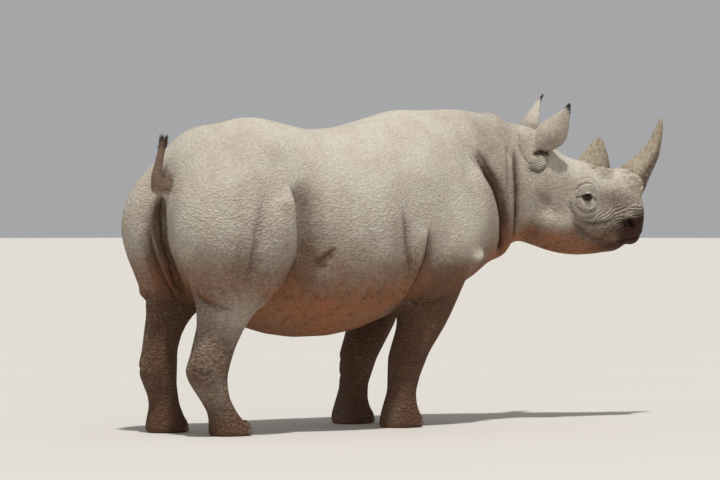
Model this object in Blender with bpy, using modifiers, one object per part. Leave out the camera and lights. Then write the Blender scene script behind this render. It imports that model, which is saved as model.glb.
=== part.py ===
"""Life-size standing black rhinoceros, as a still museum model, in metres with +Z up.

The animal faces +X and its left side is +Y. The trunk, neck and head are one loft of upright
sections along the spine, the legs are lofts of level sections, and muscles are ellipsoids. They are
fused by a voxel remesh, smoothed, and parted into named pieces by thin cuts. The ears, horns, tail,
eyes and toenails are made on their own and fitted against the fused body.

Everything is designed on a straight spine. turn_head() then swings the neck and head to the right.
"""

import math
from collections import namedtuple

import bmesh
import bpy
import numpy as np
from mathutils import Matrix, Vector

# --- driving dimensions -------------------------------------------------------------------------
GAP = 0.0003  # clearance kept between pieces that touch
HEAD_TURN = math.radians(18.0)  # how far the head looks to the right of the trunk's heading
TURN_FROM, TURN_TO = 0.90, 1.40  # stretch of the spine over which the neck turns
VOXEL = 0.015  # size of the voxels that fuse the body
SMOOTH_STEPS = 14
BODY_FACES = 2320  # triangles kept in the fused trunk, neck and legs
HEAD_FACES = 1250  # triangles kept in the head
SPARE = 0.03  # length left beyond a cut while the surface is thinned
RING_POINTS = 40
RINGS_PER_GAP = 4
SOLE_DROP = 0.03  # the legs run this far below the floor before they are trimmed flat

HEAD_COLOUR = (0.60, 0.55, 0.47, 1.0)
BODY_COLOUR = (0.66, 0.61, 0.52, 1.0)
LEG_COLOUR = (0.33, 0.27, 0.22, 1.0)
HORN_COLOUR = (0.52, 0.47, 0.37, 1.0)
NAIL_COLOUR = (0.25, 0.21, 0.17, 1.0)
EYE_COLOUR = (0.03, 0.02, 0.015, 1.0)

# --- trunk, neck and head: upright sections along the straight spine -----------------------------
# at: place along the spine; top, bottom: heights of the outline; half: half the width;
# widest: height of the widest point; crown, keel: how square the upper and lower halves are.
Section = namedtuple("Section", "at top bottom half widest crown keel")
SPINE = (
    Section(-0.770, 1.230, 0.960, 0.060, 1.100, 2.0, 2.0),  # root of the tail
    Section(-0.735, 1.330, 0.860, 0.160, 1.110, 2.0, 2.0),
    Section(-0.670, 1.430, 0.740, 0.265, 1.120, 2.0, 2.0),  # pin bones
    Section(-0.590, 1.510, 0.665, 0.330, 1.120, 2.0, 2.0),
    Section(-0.490, 1.533, 0.620, 0.365, 1.120, 2.0, 2.0),
    Section(-0.400, 1.542, 0.585, 0.385, 1.100, 2.1, 2.0),
    Section(-0.270, 1.573, 0.525, 0.405, 1.060, 2.1, 2.1),  # croup
    Section(-0.110, 1.548, 0.480, 0.430, 1.000, 2.1, 2.2),
    Section(0.100, 1.513, 0.463, 0.452, 0.960, 2.1, 2.2),  # saddle over the barrel
    Section(0.300, 1.525, 0.482, 0.445, 0.960, 2.1, 2.2),
    Section(0.480, 1.566, 0.530, 0.415, 0.980, 2.0, 2.1),  # girth
    Section(0.660, 1.615, 0.590, 0.370, 1.000, 1.9, 2.1),  # withers
    Section(0.850, 1.617, 0.640, 0.345, 1.020, 1.9, 2.1),
    Section(1.020, 1.627, 0.690, 0.310, 1.060, 1.9, 2.1),  # nape hump
    Section(1.150, 1.618, 0.752, 0.268, 1.140, 2.0, 2.1),
    Section(1.260, 1.597, 0.830, 0.228, 1.180, 2.0, 2.1),
    Section(1.350, 1.578, 0.890, 0.200, 1.200, 2.0, 2.1),
    Section(1.430, 1.550, 0.935, 0.172, 1.220, 2.1, 2.0),  # poll
    Section(1.510, 1.525, 0.915, 0.172, 1.210, 2.2, 1.9),
    Section(1.590, 1.460, 0.888, 0.176, 1.190, 2.3, 1.9),
    Section(1.670, 1.395, 0.868, 0.176, 1.170, 2.4, 1.9),  # cheekbones
    Section(1.760, 1.360, 0.857, 0.164, 1.160, 2.4, 1.9),  # eyes
    Section(1.850, 1.335, 0.860, 0.142, 1.150, 2.3, 2.0),
    Section(1.930, 1.315, 0.872, 0.126, 1.130, 2.2, 2.1),
    Section(2.000, 1.300, 0.890, 0.118, 1.120, 2.2, 2.1),
    Section(2.060, 1.270, 0.930, 0.110, 1.110, 2.2, 2.1),
    Section(2.110, 1.220, 0.950, 0.092, 1.090, 2.1, 2.0),  # nostrils
    Section(2.145, 1.140, 0.990, 0.050, 1.065, 2.0, 2.0),
)

# --- legs: level sections from the trunk down to the sole ----------------------------------------
# height, forward: centre of the section; out: its distance from the midline;
# long, wide: half its fore-and-aft length and half its width.
LegRing = namedtuple("LegRing", "height forward out long wide")
FORE_REST = (
    LegRing(1.200, 0.720, 0.200, 0.200, 0.105),
    LegRing(1.050, 0.745, 0.215, 0.240, 0.130),
    LegRing(0.920, 0.755, 0.225, 0.245, 0.142),
    LegRing(0.800, 0.750, 0.228, 0.215, 0.140),
    LegRing(0.700, 0.735, 0.222, 0.180, 0.128),
    LegRing(0.600, 0.712, 0.215, 0.155, 0.118),  # elbow
    LegRing(0.500, 0.680, 0.206, 0.132, 0.108),
    LegRing(0.410, 0.630, 0.200, 0.114, 0.102),
    LegRing(0.340, 0.600, 0.200, 0.102, 0.096),  # wrist
    LegRing(0.260, 0.580, 0.200, 0.086, 0.084),
    LegRing(0.180, 0.564, 0.200, 0.076, 0.078),
    LegRing(0.120, 0.556, 0.200, 0.086, 0.086),
    LegRing(0.060, 0.556, 0.200, 0.108, 0.100),
    LegRing(0.020, 0.560, 0.200, 0.118, 0.107),
    LegRing(-SOLE_DROP, 0.560, 0.200, 0.116, 0.106),
)
THIGH = (
    LegRing(1.360, -0.500, 0.170, 0.150, 0.105),
    LegRing(1.260, -0.525, 0.195, 0.235, 0.165),
    LegRing(1.130, -0.545, 0.212, 0.285, 0.192),
    LegRing(1.000, -0.545, 0.220, 0.300, 0.200),
    LegRing(0.870, -0.525, 0.220, 0.282, 0.188),
    LegRing(0.760, -0.515, 0.216, 0.232, 0.164),
    LegRing(0.670, -0.530, 0.210, 0.178, 0.136),  # stifle
)
HIND_FORWARD = THIGH + (
    LegRing(0.590, -0.552, 0.204, 0.140, 0.116),
    LegRing(0.500, -0.585, 0.200, 0.120, 0.104),
    LegRing(0.400, -0.625, 0.200, 0.112, 0.098),
    LegRing(0.310, -0.655, 0.200, 0.114, 0.096),  # hock
    LegRing(0.240, -0.638, 0.200, 0.092, 0.086),
    LegRing(0.160, -0.590, 0.200, 0.074, 0.076),
    LegRing(0.100, -0.552, 0.200, 0.078, 0.080),
    LegRing(0.050, -0.525, 0.200, 0.102, 0.094),
    LegRing(0.020, -0.515, 0.200, 0.114, 0.101),
    LegRing(-SOLE_DROP, -0.512, 0.200, 0.112, 0.100),
)
HIND_BACK = THIGH + (
    LegRing(0.590, -0.585, 0.206, 0.126, 0.108),
    LegRing(0.500, -0.632, 0.202, 0.100, 0.094),
    LegRing(0.400, -0.655, 0.200, 0.092, 0.088),
    LegRing(0.300, -0.665, 0.200, 0.102, 0.090),
    LegRing(0.240, -0.655, 0.200, 0.088, 0.084),
    LegRing(0.170, -0.632, 0.200, 0.076, 0.078),
    LegRing(0.110, -0.622, 0.200, 0.086, 0.084),
    LegRing(0.050, -0.616, 0.200, 0.108, 0.098),
    LegRing(0.020, -0.612, 0.200, 0.114, 0.102),
    LegRing(-SOLE_DROP, -0.612, 0.200, 0.112, 0.100),
)
Leg = namedtuple("Leg", "name side rings")
LEFT, RIGHT = 1, -1
LEGS = (
    Leg("fore_left", LEFT, FORE_REST),
    Leg("fore_right", RIGHT, FORE_REST),
    Leg("hind_left", LEFT, HIND_BACK),
    Leg("hind_right", RIGHT, HIND_FORWARD),
)

# --- muscles and swellings: ellipsoids, the off-centre ones on both sides ------------------------
Swelling = namedtuple("Swelling", "centre radii tilt")  # tilt: degrees about the sideways axis
SWELLINGS = (
    Swelling((0.970, 0.268, 0.858), (0.055, 0.050, 0.040), 0),  # knob on the breast
    Swelling((0.870, 0.200, 0.960), (0.190, 0.150, 0.230), -10),  # point of the shoulder
    Swelling((1.270, 0.060, 1.070), (0.075, 0.140, 0.225), -8),  # fold hanging before the breast
    Swelling((1.290, 0.000, 1.510), (0.070, 0.120, 0.085), 0),  # roll behind the poll
    Swelling((1.600, 0.090, 1.070), (0.150, 0.085, 0.150), 25),  # jowl
    Swelling((1.765, 0.098, 1.235), (0.085, 0.058, 0.050), 20),  # brow over the eye
    Swelling((1.760, 0.100, 1.110), (0.085, 0.060, 0.045), 15),  # bag under the eye
    Swelling((1.870, 0.000, 1.285), (0.125, 0.075, 0.060), 14),  # seat of the rear horn
    Swelling((2.055, 0.000, 1.228), (0.100, 0.098, 0.092), 42),  # seat of the front horn
    Swelling((2.074, 0.046, 1.045), (0.064, 0.055, 0.082), 0),  # nostril
    Swelling((2.083, 0.000, 0.975), (0.058, 0.066, 0.066), 0),  # hooked upper lip
    Swelling((1.960, 0.000, 0.920), (0.080, 0.072, 0.048), -6),  # chin
    Swelling((1.450, 0.105, 1.430), (0.070, 0.064, 0.105), 12),  # root of the ear
    Swelling((1.478, 0.150, 1.352), (0.052, 0.040, 0.045), 0),  # knot of skin under the ear
)

# --- bulges and hollows raised on the fused body, fading away with distance, on both sides -------
Bulge = namedtuple("Bulge", "centre radii rise")
BULGES = (
    Bulge((0.72, 0.36, 1.26), (0.22, 0.30, 0.24), 0.030),  # shoulder blade
    Bulge((0.86, 0.36, 0.98), (0.16, 0.25, 0.20), 0.018),  # upper arm
    Bulge((0.58, 0.40, 0.86), (0.10, 0.20, 0.20), 0.022),  # back of the upper arm
    Bulge((0.38, 0.42, 0.80), (0.07, 0.25, 0.22), -0.016),  # hollow behind the elbow
    Bulge((0.98, 0.32, 1.30), (0.09, 0.20, 0.17), -0.018),  # dip before the shoulder blade
    Bulge((-0.46, 0.40, 0.98), (0.19, 0.30, 0.30), 0.034),  # thigh
    Bulge((-0.38, 0.38, 0.74), (0.12, 0.20, 0.12), 0.026),  # fold down to the kneecap
    Bulge((-0.15, 0.42, 1.08), (0.08, 0.25, 0.24), -0.030),  # flank before the thigh
    Bulge((-0.34, 0.34, 1.44), (0.13, 0.16, 0.10), 0.020),  # point of the hip
    Bulge((-0.60, 0.00, 0.74), (0.20, 0.07, 0.20), -0.030),  # cleft between the thighs
    Bulge((0.10, 0.44, 0.90), (0.40, 0.30, 0.26), 0.012),  # barrel
    Bulge((1.55, 0.20, 1.28), (0.12, 0.12, 0.10), 0.012),  # temple
    Bulge((1.93, 0.15, 1.16), (0.10, 0.12, 0.10), -0.010),  # hollow between eye and nostril
)

# --- horns: their outline seen from the side, from the sunk seat to the tip ----------------------
HornRing = namedtuple("HornRing", "back_x back_z front_x front_z half")
FRONT_HORN = (
    HornRing(1.996, 1.285, 2.130, 1.160, 0.074),
    HornRing(2.022, 1.318, 2.158, 1.193, 0.074),
    HornRing(2.060, 1.343, 2.186, 1.257, 0.064),
    HornRing(2.116, 1.385, 2.221, 1.321, 0.051),
    HornRing(2.172, 1.436, 2.249, 1.385, 0.040),
    HornRing(2.205, 1.485, 2.262, 1.452, 0.031),
    HornRing(2.231, 1.538, 2.272, 1.520, 0.022),
    HornRing(2.248, 1.574, 2.272, 1.563, 0.014),
    HornRing(2.258, 1.590, 2.267, 1.588, 0.006),
)
REAR_HORN = (
    HornRing(1.768, 1.300, 1.955, 1.255, 0.050),
    HornRing(1.778, 1.360, 1.968, 1.315, 0.053),
    HornRing(1.823, 1.410, 1.957, 1.368, 0.041),
    HornRing(1.856, 1.447, 1.946, 1.414, 0.029),
    HornRing(1.884, 1.474, 1.930, 1.454, 0.018),
    HornRing(1.902, 1.486, 1.917, 1.480, 0.007),
)

# --- ears: a cupped leaf from its root to its tip ------------------------------------------------
# reach: share of the way to the tip; half: half the leaf's width; wrap: half the angle it curls.
# lean: how far the ring is shifted towards the front edge.
EarRing = namedtuple("EarRing", "reach half wrap lean")
EAR_RINGS = (
    EarRing(0.00, 0.040, 165, 0.000),
    EarRing(0.14, 0.050, 160, 0.002),
    EarRing(0.28, 0.070, 128, 0.010),
    EarRing(0.42, 0.080, 104, 0.017),
    EarRing(0.56, 0.074, 92, 0.022),
    EarRing(0.70, 0.055, 84, 0.020),
    EarRing(0.83, 0.033, 76, 0.013),
    EarRing(0.94, 0.014, 68, 0.004),
    EarRing(1.00, 0.006, 62, 0.000),
)
EAR_WALL = 0.010
EAR_ARC_POINTS = 7
Ear = namedtuple("Ear", "name side root tip back")  # back: heading its outer face looks, degrees
EARS = (
    Ear("ear_left", LEFT, (1.500, 0.120, 1.420), (1.688, 0.200, 1.694), 168),
    Ear("ear_right", RIGHT, (1.462, -0.120, 1.390), (1.650, -0.205, 1.645), -122),
)

# --- tail, eyes and toenails ---------------------------------------------------------------------
# The tail stands up against the rump. Its rows are: along, height, half its width.
TAIL = (
    (-0.690, 1.265, 0.050),
    (-0.755, 1.205, 0.053),
    (-0.800, 1.222, 0.044),
    (-0.812, 1.275, 0.028),
    (-0.800, 1.335, 0.021),
    (-0.786, 1.390, 0.018),
    (-0.776, 1.425, 0.020),
    (-0.768, 1.460, 0.012),
)
EYE_RADIUS = 0.023
EYE_AT = (1.763, 0.151, 1.168)
NAIL_ANGLES = (-50.0, 0.0, 50.0)  # round the front of each foot, in degrees
NAIL_RADII = (0.016, 0.034, 0.036)  # thickness, half its width, half its height
NAIL_HEIGHT = 0.040

# --- where the fused body is parted --------------------------------------------------------------
# Each limb is what lies outside INNER_WALL and within an outline seen from the side.
INNER_WALL = 0.070
FORE_OUTLINE = (
    (0.400, -0.10), (1.030, -0.10), (1.030, 0.640), (1.100, 0.860), (0.990, 1.180),
    (0.830, 1.420), (0.640, 1.420), (0.520, 1.160), (0.500, 0.800), (0.440, 0.560),
)
HIND_OUTLINE = (
    (-1.000, -0.10), (-0.360, -0.10), (-0.360, 0.550), (-0.250, 0.760), (-0.210, 0.950),
    (-0.230, 1.100), (-0.320, 1.270), (-0.480, 1.370), (-0.720, 1.330), (-1.000, 1.000),
)
KNEE_HEIGHT, ANKLE_HEIGHT = 0.520, 0.115
NECK_FROM, HEAD_FROM = 1.120, 1.415  # upright cuts across the spine
FORWARD, BACKWARD = 1, -1


def smooth_rows(rows, per_gap, key):
    """The rows with per_gap - 1 more blended between each two, by a cubic through every row."""
    table = np.array(rows, float)
    at = table[:, key]
    slopes = np.gradient(table, at, axis=0)
    made = []
    for i in range(len(rows) - 1):
        width = at[i + 1] - at[i]
        for step in range(per_gap):
            t = step / per_gap
            near, far = (1 + 2 * t) * (1 - t) ** 2, t * t * (3 - 2 * t)
            leave, arrive = t * (1 - t) ** 2, t * t * (t - 1)
            made.append(
                near * table[i]
                + far * table[i + 1]
                + width * (leave * slopes[i] + arrive * slopes[i + 1])
            )
    made.append(table[-1])
    kind = type(rows[0])
    return [kind(*row) for row in made]


def arc_power(value, squareness):
    """A sine or cosine bent towards a square (above 2) or a diamond (below 2)."""
    return math.copysign(abs(value) ** (2.0 / squareness), value)


def upright_ring(section):
    """Points of one spine section, going round from the left side over the top."""
    points = []
    for i in range(RING_POINTS):
        angle = 2 * math.pi * i / RING_POINTS
        if math.sin(angle) >= 0:
            rise, square = section.top - section.widest, section.crown
        else:
            rise, square = section.widest - section.bottom, section.keel
        points.append(
            (
                section.at,
                section.half * arc_power(math.cos(angle), square),
                section.widest + rise * arc_power(math.sin(angle), square),
            )
        )
    return points


def level_ring(ring, side):
    """Points of one leg section, an oval in a level plane."""
    return [
        (
            ring.forward + ring.long * math.cos(2 * math.pi * i / RING_POINTS),
            side * ring.out + ring.wide * math.sin(2 * math.pi * i / RING_POINTS),
            ring.height,
        )
        for i in range(RING_POINTS)
    ]


def add_loft(mesh, rings):
    """Skins the rings into the mesh as one closed tube."""
    loops = [[mesh.verts.new(point) for point in ring] for ring in rings]
    for low, high in zip(loops, loops[1:]):
        for i, vertex in enumerate(low):
            after = (i + 1) % len(low)
            mesh.faces.new((vertex, low[after], high[after], high[i]))
    mesh.faces.new(reversed(loops[0]))
    mesh.faces.new(loops[-1])


def add_ellipsoid(mesh, centre, radii, tilt=0.0):
    """A closed ball stretched to three radii and tipped about the sideways axis."""
    place = (
        Matrix.Translation(centre)
        @ Matrix.Rotation(math.radians(tilt), 4, "Y")
        @ Matrix.Diagonal((*radii, 1.0))
    )
    bmesh.ops.create_uvsphere(mesh, u_segments=24, v_segments=14, radius=1.0, matrix=place)


def turn_head(mesh):
    """Swings everything past TURN_FROM along the spine to the right, on a round arc."""
    radius = (TURN_TO - TURN_FROM) / HEAD_TURN
    for vertex in mesh.verts:
        along, aside, height = vertex.co
        share = min(max((along - TURN_FROM) / (TURN_TO - TURN_FROM), 0.0), 1.0)
        angle = HEAD_TURN * share
        beyond = max(along - TURN_TO, 0.0)
        before = min(along, TURN_FROM)
        forward = before + radius * math.sin(angle) + beyond * math.cos(angle)
        sideways = -radius * (1 - math.cos(angle)) - beyond * math.sin(angle)
        vertex.co = (
            forward + aside * math.sin(angle),
            sideways + aside * math.cos(angle),
            height,
        )


def make_object(name, mesh, collection, colour=None, roughness=0.9):
    """A new object from a bmesh, with its own material where a colour is given."""
    data = bpy.data.meshes.new(name)
    bmesh.ops.recalc_face_normals(mesh, faces=mesh.faces)
    mesh.to_mesh(data)
    mesh.free()
    made = bpy.data.objects.new(name, data)
    collection.objects.link(made)
    if colour:
        paint(made, colour, roughness)
    return made


def paint(made, colour, roughness):
    """Gives the object a Principled material of its own."""
    material = bpy.data.materials.new(made.name)
    material.use_nodes = True
    shader = material.node_tree.nodes["Principled BSDF"]
    shader.inputs["Base Color"].default_value = colour
    shader.inputs["Roughness"].default_value = roughness
    shader.inputs["Metallic"].default_value = 0.0
    made.data.materials.clear()
    made.data.materials.append(material)


def evaluated_mesh(made):
    """The object's mesh with its modifiers applied."""
    graph = bpy.context.evaluated_depsgraph_get()
    graph.update()
    return bpy.data.meshes.new_from_object(made.evaluated_get(graph))


def boolean(target, other, operation):
    """Replaces the target's mesh with its Boolean with the other object."""
    step = target.modifiers.new("cut", "BOOLEAN")
    step.operation = operation
    step.solver = "EXACT"
    step.object = other
    made = evaluated_mesh(target)
    target.modifiers.clear()
    target.data = made


def grown(mesh, distance):
    """A copy of a closed bmesh with every face moved out by the distance."""
    copy = mesh.copy()
    bmesh.ops.recalc_face_normals(copy, faces=copy.faces)
    copy.normal_update()
    moves = [vertex.normal * distance * vertex.calc_shell_factor() for vertex in copy.verts]
    for vertex, move in zip(copy.verts, moves):
        vertex.co += move
    return copy


def seat(piece_mesh, name, host, collection, colour, roughness=0.9):
    """Makes the piece and carves its grown shape out of the host, so that a thin gap is left."""
    bmesh.ops.triangulate(piece_mesh, faces=piece_mesh.faces)
    cutter = make_object("cutter", grown(piece_mesh, GAP), collection)
    boolean(host, cutter, "DIFFERENCE")
    bpy.data.objects.remove(cutter)
    return make_object(name, piece_mesh, collection, colour, roughness)


def prism(outline, side):
    """The side-view outline pushed sideways from INNER_WALL to beyond the body."""
    mesh = bmesh.new()
    near = [mesh.verts.new((x, side * INNER_WALL, z)) for x, z in outline]
    far = [mesh.verts.new((x, side * 1.0, z)) for x, z in outline]
    mesh.faces.new(near)
    mesh.faces.new(far[::-1])
    for i in range(len(outline)):
        after = (i + 1) % len(outline)
        mesh.faces.new((near[after], near[i], far[i], far[after]))
    bmesh.ops.recalc_face_normals(mesh, faces=mesh.faces)
    return mesh


def part_by_outline(body, name, outline, side, collection):
    """Takes the limb inside the outline off the body, with a thin gap between the two."""
    limb = bpy.data.objects.new(name, body.data.copy())
    collection.objects.link(limb)
    region = prism(outline, side)
    wider = make_object("wider", grown(region, GAP), collection)
    inner = make_object("inner", region, collection)
    boolean(limb, inner, "INTERSECT")
    boolean(body, wider, "DIFFERENCE")
    bpy.data.objects.remove(inner)
    bpy.data.objects.remove(wider)
    return limb


def keep_below(mesh, point, normal):
    """Cuts away what lies beyond the plane and closes the opening."""
    found = bmesh.ops.bisect_plane(
        mesh,
        geom=mesh.verts[:] + mesh.edges[:] + mesh.faces[:],
        plane_co=point,
        plane_no=normal,
        clear_outer=True,
    )
    edges = [item for item in found["geom_cut"] if isinstance(item, bmesh.types.BMEdge)]
    bmesh.ops.holes_fill(mesh, edges=edges)
    bmesh.ops.triangulate(mesh, faces=mesh.faces)


def split(piece, name, place, axis, collection):
    """Parts a piece by a flat cut; the side towards the axis becomes a new object."""
    normal = Vector(axis)
    middle = normal * place
    beyond = bmesh.new()
    beyond.from_mesh(piece.data)
    keep_below(beyond, middle + normal * GAP / 2, -normal)
    before = bmesh.new()
    before.from_mesh(piece.data)
    keep_below(before, middle - normal * GAP / 2, normal)
    before.to_mesh(piece.data)
    before.free()
    return make_object(name, beyond, collection)


def fused_body(collection):
    """Trunk, neck, head and legs as one closed and finely meshed body."""
    mesh = bmesh.new()
    add_loft(mesh, [upright_ring(s) for s in smooth_rows(SPINE, RINGS_PER_GAP, 0)])
    for leg in LEGS:
        rings = smooth_rows(leg.rings[::-1], RINGS_PER_GAP, 0)
        add_loft(mesh, [level_ring(ring, leg.side) for ring in rings])
    for swelling in SWELLINGS:
        sides = (LEFT, RIGHT) if swelling.centre[1] else (LEFT,)
        for side in sides:
            x, y, z = swelling.centre
            add_ellipsoid(mesh, (x, side * y, z), swelling.radii, swelling.tilt)
    body = make_object("fused_body", mesh, collection)
    remesh = body.modifiers.new("fuse", "REMESH")
    remesh.mode = "VOXEL"
    remesh.voxel_size = VOXEL
    smooth = body.modifiers.new("soften", "SMOOTH")
    smooth.factor = 0.5
    smooth.iterations = SMOOTH_STEPS
    fine = evaluated_mesh(body)
    raise_bulges(fine)
    body.modifiers.clear()
    body.data = fine
    return body


def thinned_side(body, name, faces, direction, collection):
    """The body on one side of the cut at HEAD_FROM, thinned to the given number of triangles."""
    normal = Vector((-direction, 0, 0))
    seam = Vector((HEAD_FROM, 0, 0))
    mesh = bmesh.new()
    mesh.from_mesh(body.data)
    keep_below(mesh, seam + normal * SPARE, normal)
    ratio = faces / len(mesh.faces)
    side = make_object(name, mesh, collection)
    thin = side.modifiers.new("thin", "DECIMATE")
    thin.use_collapse_triangulate = True
    thin.ratio = ratio
    mesh = bmesh.new()
    mesh.from_mesh(evaluated_mesh(side))
    keep_below(mesh, seam - normal * GAP / 2, normal)
    if direction == BACKWARD:
        keep_below(mesh, Vector((0, 0, 0)), Vector((0, 0, -1)))
    side.modifiers.clear()
    mesh.to_mesh(side.data)
    mesh.free()
    return side


def raise_bulges(mesh):
    """Moves the surface along its normals by the sum of the bulges, on both sides alike."""
    count = len(mesh.vertices)
    flat = np.empty(count * 3)
    mesh.vertices.foreach_get("co", flat)
    points = flat.reshape(-1, 3)
    flat = np.empty(count * 3)
    mesh.vertices.foreach_get("normal", flat)
    normals = flat.reshape(-1, 3)
    folded = points * (1, 0, 1) + np.abs(points) * (0, 1, 0)
    rise = np.zeros(count)
    for bulge in BULGES:
        far = ((folded - bulge.centre) / bulge.radii) ** 2
        rise += bulge.rise * np.exp(-far.sum(axis=1))
    mesh.vertices.foreach_set("co", (points + normals * rise[:, None]).ravel())
    mesh.update()


def horn_mesh(rows):
    """A tapering horn: ovals strung between its back and front edges."""
    mesh = bmesh.new()
    rings = []
    for row in rows:
        back = Vector((row.back_x, 0, row.back_z))
        front = Vector((row.front_x, 0, row.front_z))
        middle, reach = (back + front) / 2, (front - back) / 2
        ring = []
        for i in range(14):
            angle = 2 * math.pi * i / 14
            aside = Vector((0, row.half * math.sin(angle), 0))
            ring.append(middle + reach * math.cos(angle) + aside)
        rings.append(ring)
    add_loft(mesh, rings)
    return mesh


def ear_mesh(ear):
    """A leaf rolled into a cup at its root and opening towards its tip."""
    mesh = bmesh.new()
    root, tip = Vector(ear.root), Vector(ear.tip)
    axis = (tip - root).normalized()
    heading = math.radians(ear.back)
    back = Vector((math.cos(heading), math.sin(heading), 0))
    back = (back - axis * back.dot(axis)).normalized()
    across = axis.cross(back)
    forward = across if across.x > 0 else -across
    rings = []
    for row in EAR_RINGS:
        wrap = math.radians(row.wrap)
        radius = row.half / math.sin(min(wrap, math.pi / 2))
        wall = min(EAR_WALL, radius * 0.6)
        middle = root.lerp(tip, row.reach) + forward * row.lean
        middle -= back * (radius - 0.045) * 0.6
        angles = [wrap * (2 * i / (EAR_ARC_POINTS - 1) - 1) for i in range(EAR_ARC_POINTS)]
        ring = []
        for size, sweep in ((radius, angles), (radius - wall, angles[::-1])):
            for angle in sweep:
                out = back * math.cos(angle) + across * math.sin(angle)
                ring.append(middle + out * size)
        rings.append(ring)
    add_loft(mesh, rings)
    return mesh


def tail_mesh():
    """A tapering round tail along its path, in the midplane."""
    mesh = bmesh.new()
    spots = [Vector((x, 0, z)) for x, z, _ in TAIL]
    rings = []
    for i, (_, _, half) in enumerate(TAIL):
        along = (spots[min(i + 1, len(TAIL) - 1)] - spots[max(i - 1, 0)]).normalized()
        aside = Vector((0, 1, 0))
        up = along.cross(aside)
        ring = []
        for k in range(10):
            angle = 2 * math.pi * k / 10
            ring.append(spots[i] + (aside * math.cos(angle) + up * math.sin(angle)) * half)
        rings.append(ring)
    add_loft(mesh, rings)
    return mesh


def nail_mesh(foot, side, angle):
    """A flattened oval toenail set into the edge of a foot, clear of the floor."""
    turn = math.radians(angle)
    place = (
        Matrix.Translation(
            (
                foot.forward + foot.long * 0.90 * math.cos(turn),
                side * foot.out + foot.wide * 0.90 * math.sin(turn),
                NAIL_HEIGHT,
            )
        )
        @ Matrix.Rotation(turn, 4, "Z")
        @ Matrix.Rotation(math.radians(-14), 4, "Y")
        @ Matrix.Diagonal((*NAIL_RADII, 1.0))
    )
    mesh = bmesh.new()
    bmesh.ops.create_uvsphere(mesh, u_segments=6, v_segments=5, radius=1.0, matrix=place)
    return mesh


def make_legs(body, collection):
    """Parts the four limbs off the body, each into upper, lower and foot, with toenails."""
    for leg in LEGS:
        outline = FORE_OUTLINE if leg.rings[0].forward > 0 else HIND_OUTLINE
        upper = part_by_outline(body, "upper_" + leg.name, outline, leg.side, collection)
        lower = split(upper, "lower_" + leg.name, -KNEE_HEIGHT, (0, 0, -1), collection)
        foot = split(lower, "foot_" + leg.name, -ANKLE_HEIGHT, (0, 0, -1), collection)
        for number, angle in enumerate(NAIL_ANGLES):
            nail = nail_mesh(leg.rings[-2], leg.side, angle)
            seat(nail, f"toenail_{leg.name}_{number + 1}", foot, collection, NAIL_COLOUR, 0.6)
        paint(upper, BODY_COLOUR, 0.9)
        paint(lower, LEG_COLOUR, 0.9)
        paint(foot, LEG_COLOUR, 0.9)


def make_head(head, collection):
    """Sets the horns, ears and eyes into the head."""
    seat(horn_mesh(FRONT_HORN), "horn_front", head, collection, HORN_COLOUR, 0.6)
    seat(horn_mesh(REAR_HORN), "horn_rear", head, collection, HORN_COLOUR, 0.6)
    for ear in EARS:
        seat(ear_mesh(ear), ear.name, head, collection, HEAD_COLOUR)
    for side, name in ((LEFT, "eye_left"), (RIGHT, "eye_right")):
        ball = bmesh.new()
        x, y, z = EYE_AT
        place = Matrix.Translation((x, side * y, z))
        bmesh.ops.create_uvsphere(
            ball, u_segments=12, v_segments=7, radius=EYE_RADIUS, matrix=place
        )
        seat(ball, name, head, collection, EYE_COLOUR, 0.15)
    paint(head, HEAD_COLOUR, 0.9)


def finish_pieces(collection):
    """Turns the head and centres the animal over the origin with its soles on the floor."""
    meshes = {}
    for made in collection.objects:
        mesh = bmesh.new()
        mesh.from_mesh(made.data)
        turn_head(mesh)
        meshes[made.name] = mesh
    points = np.array([vertex.co for mesh in meshes.values() for vertex in mesh.verts])
    low, high = points.min(axis=0), points.max(axis=0)
    shift = Vector((-(low[0] + high[0]) / 2, -(low[1] + high[1]) / 2, -low[2]))
    for name, mesh in meshes.items():
        bmesh.ops.translate(mesh, vec=shift, verts=mesh.verts)
        bmesh.ops.triangulate(mesh, faces=mesh.faces)
        mesh.to_mesh(collection.objects[name].data)
        mesh.free()


def main():
    """Clears the scene and builds every piece."""
    for old in list(bpy.data.objects):
        bpy.data.objects.remove(old)
    parts = bpy.data.collections.new("black_rhinoceros")
    bpy.context.scene.collection.children.link(parts)
    body = fused_body(parts)
    head = thinned_side(body, "head", HEAD_FACES, FORWARD, parts)
    trunk = thinned_side(body, "trunk", BODY_FACES, BACKWARD, parts)
    bpy.data.objects.remove(body)
    make_legs(trunk, parts)
    neck = split(trunk, "neck", NECK_FROM, (1, 0, 0), parts)
    make_head(head, parts)
    seat(tail_mesh(), "tail", trunk, parts, BODY_COLOUR)
    paint(trunk, BODY_COLOUR, 0.9)
    paint(neck, BODY_COLOUR, 0.9)
    finish_pieces(parts)


main()
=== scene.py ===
"""Looks of a life-size standing black rhinoceros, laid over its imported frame.

One dusty hide covers the trunk, neck, head, ears, tail and legs without a seam. The horns, eyes and
toenails are pieces of their own, and so is the hair on the ears, tail and eyelids. Sizes are in
metres. Features of the hide are placed on a straight spine: along it, out to the side, and up. They
are given for the right side, where out is negative, and the left side carries the same.
"""

import logging
import math
from collections.abc import Iterable, Sequence
from dataclasses import dataclass
from enum import Enum

import bmesh
import bpy
import numpy as np
from mathutils import Matrix, Vector
from numpy.linalg import norm


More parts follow.
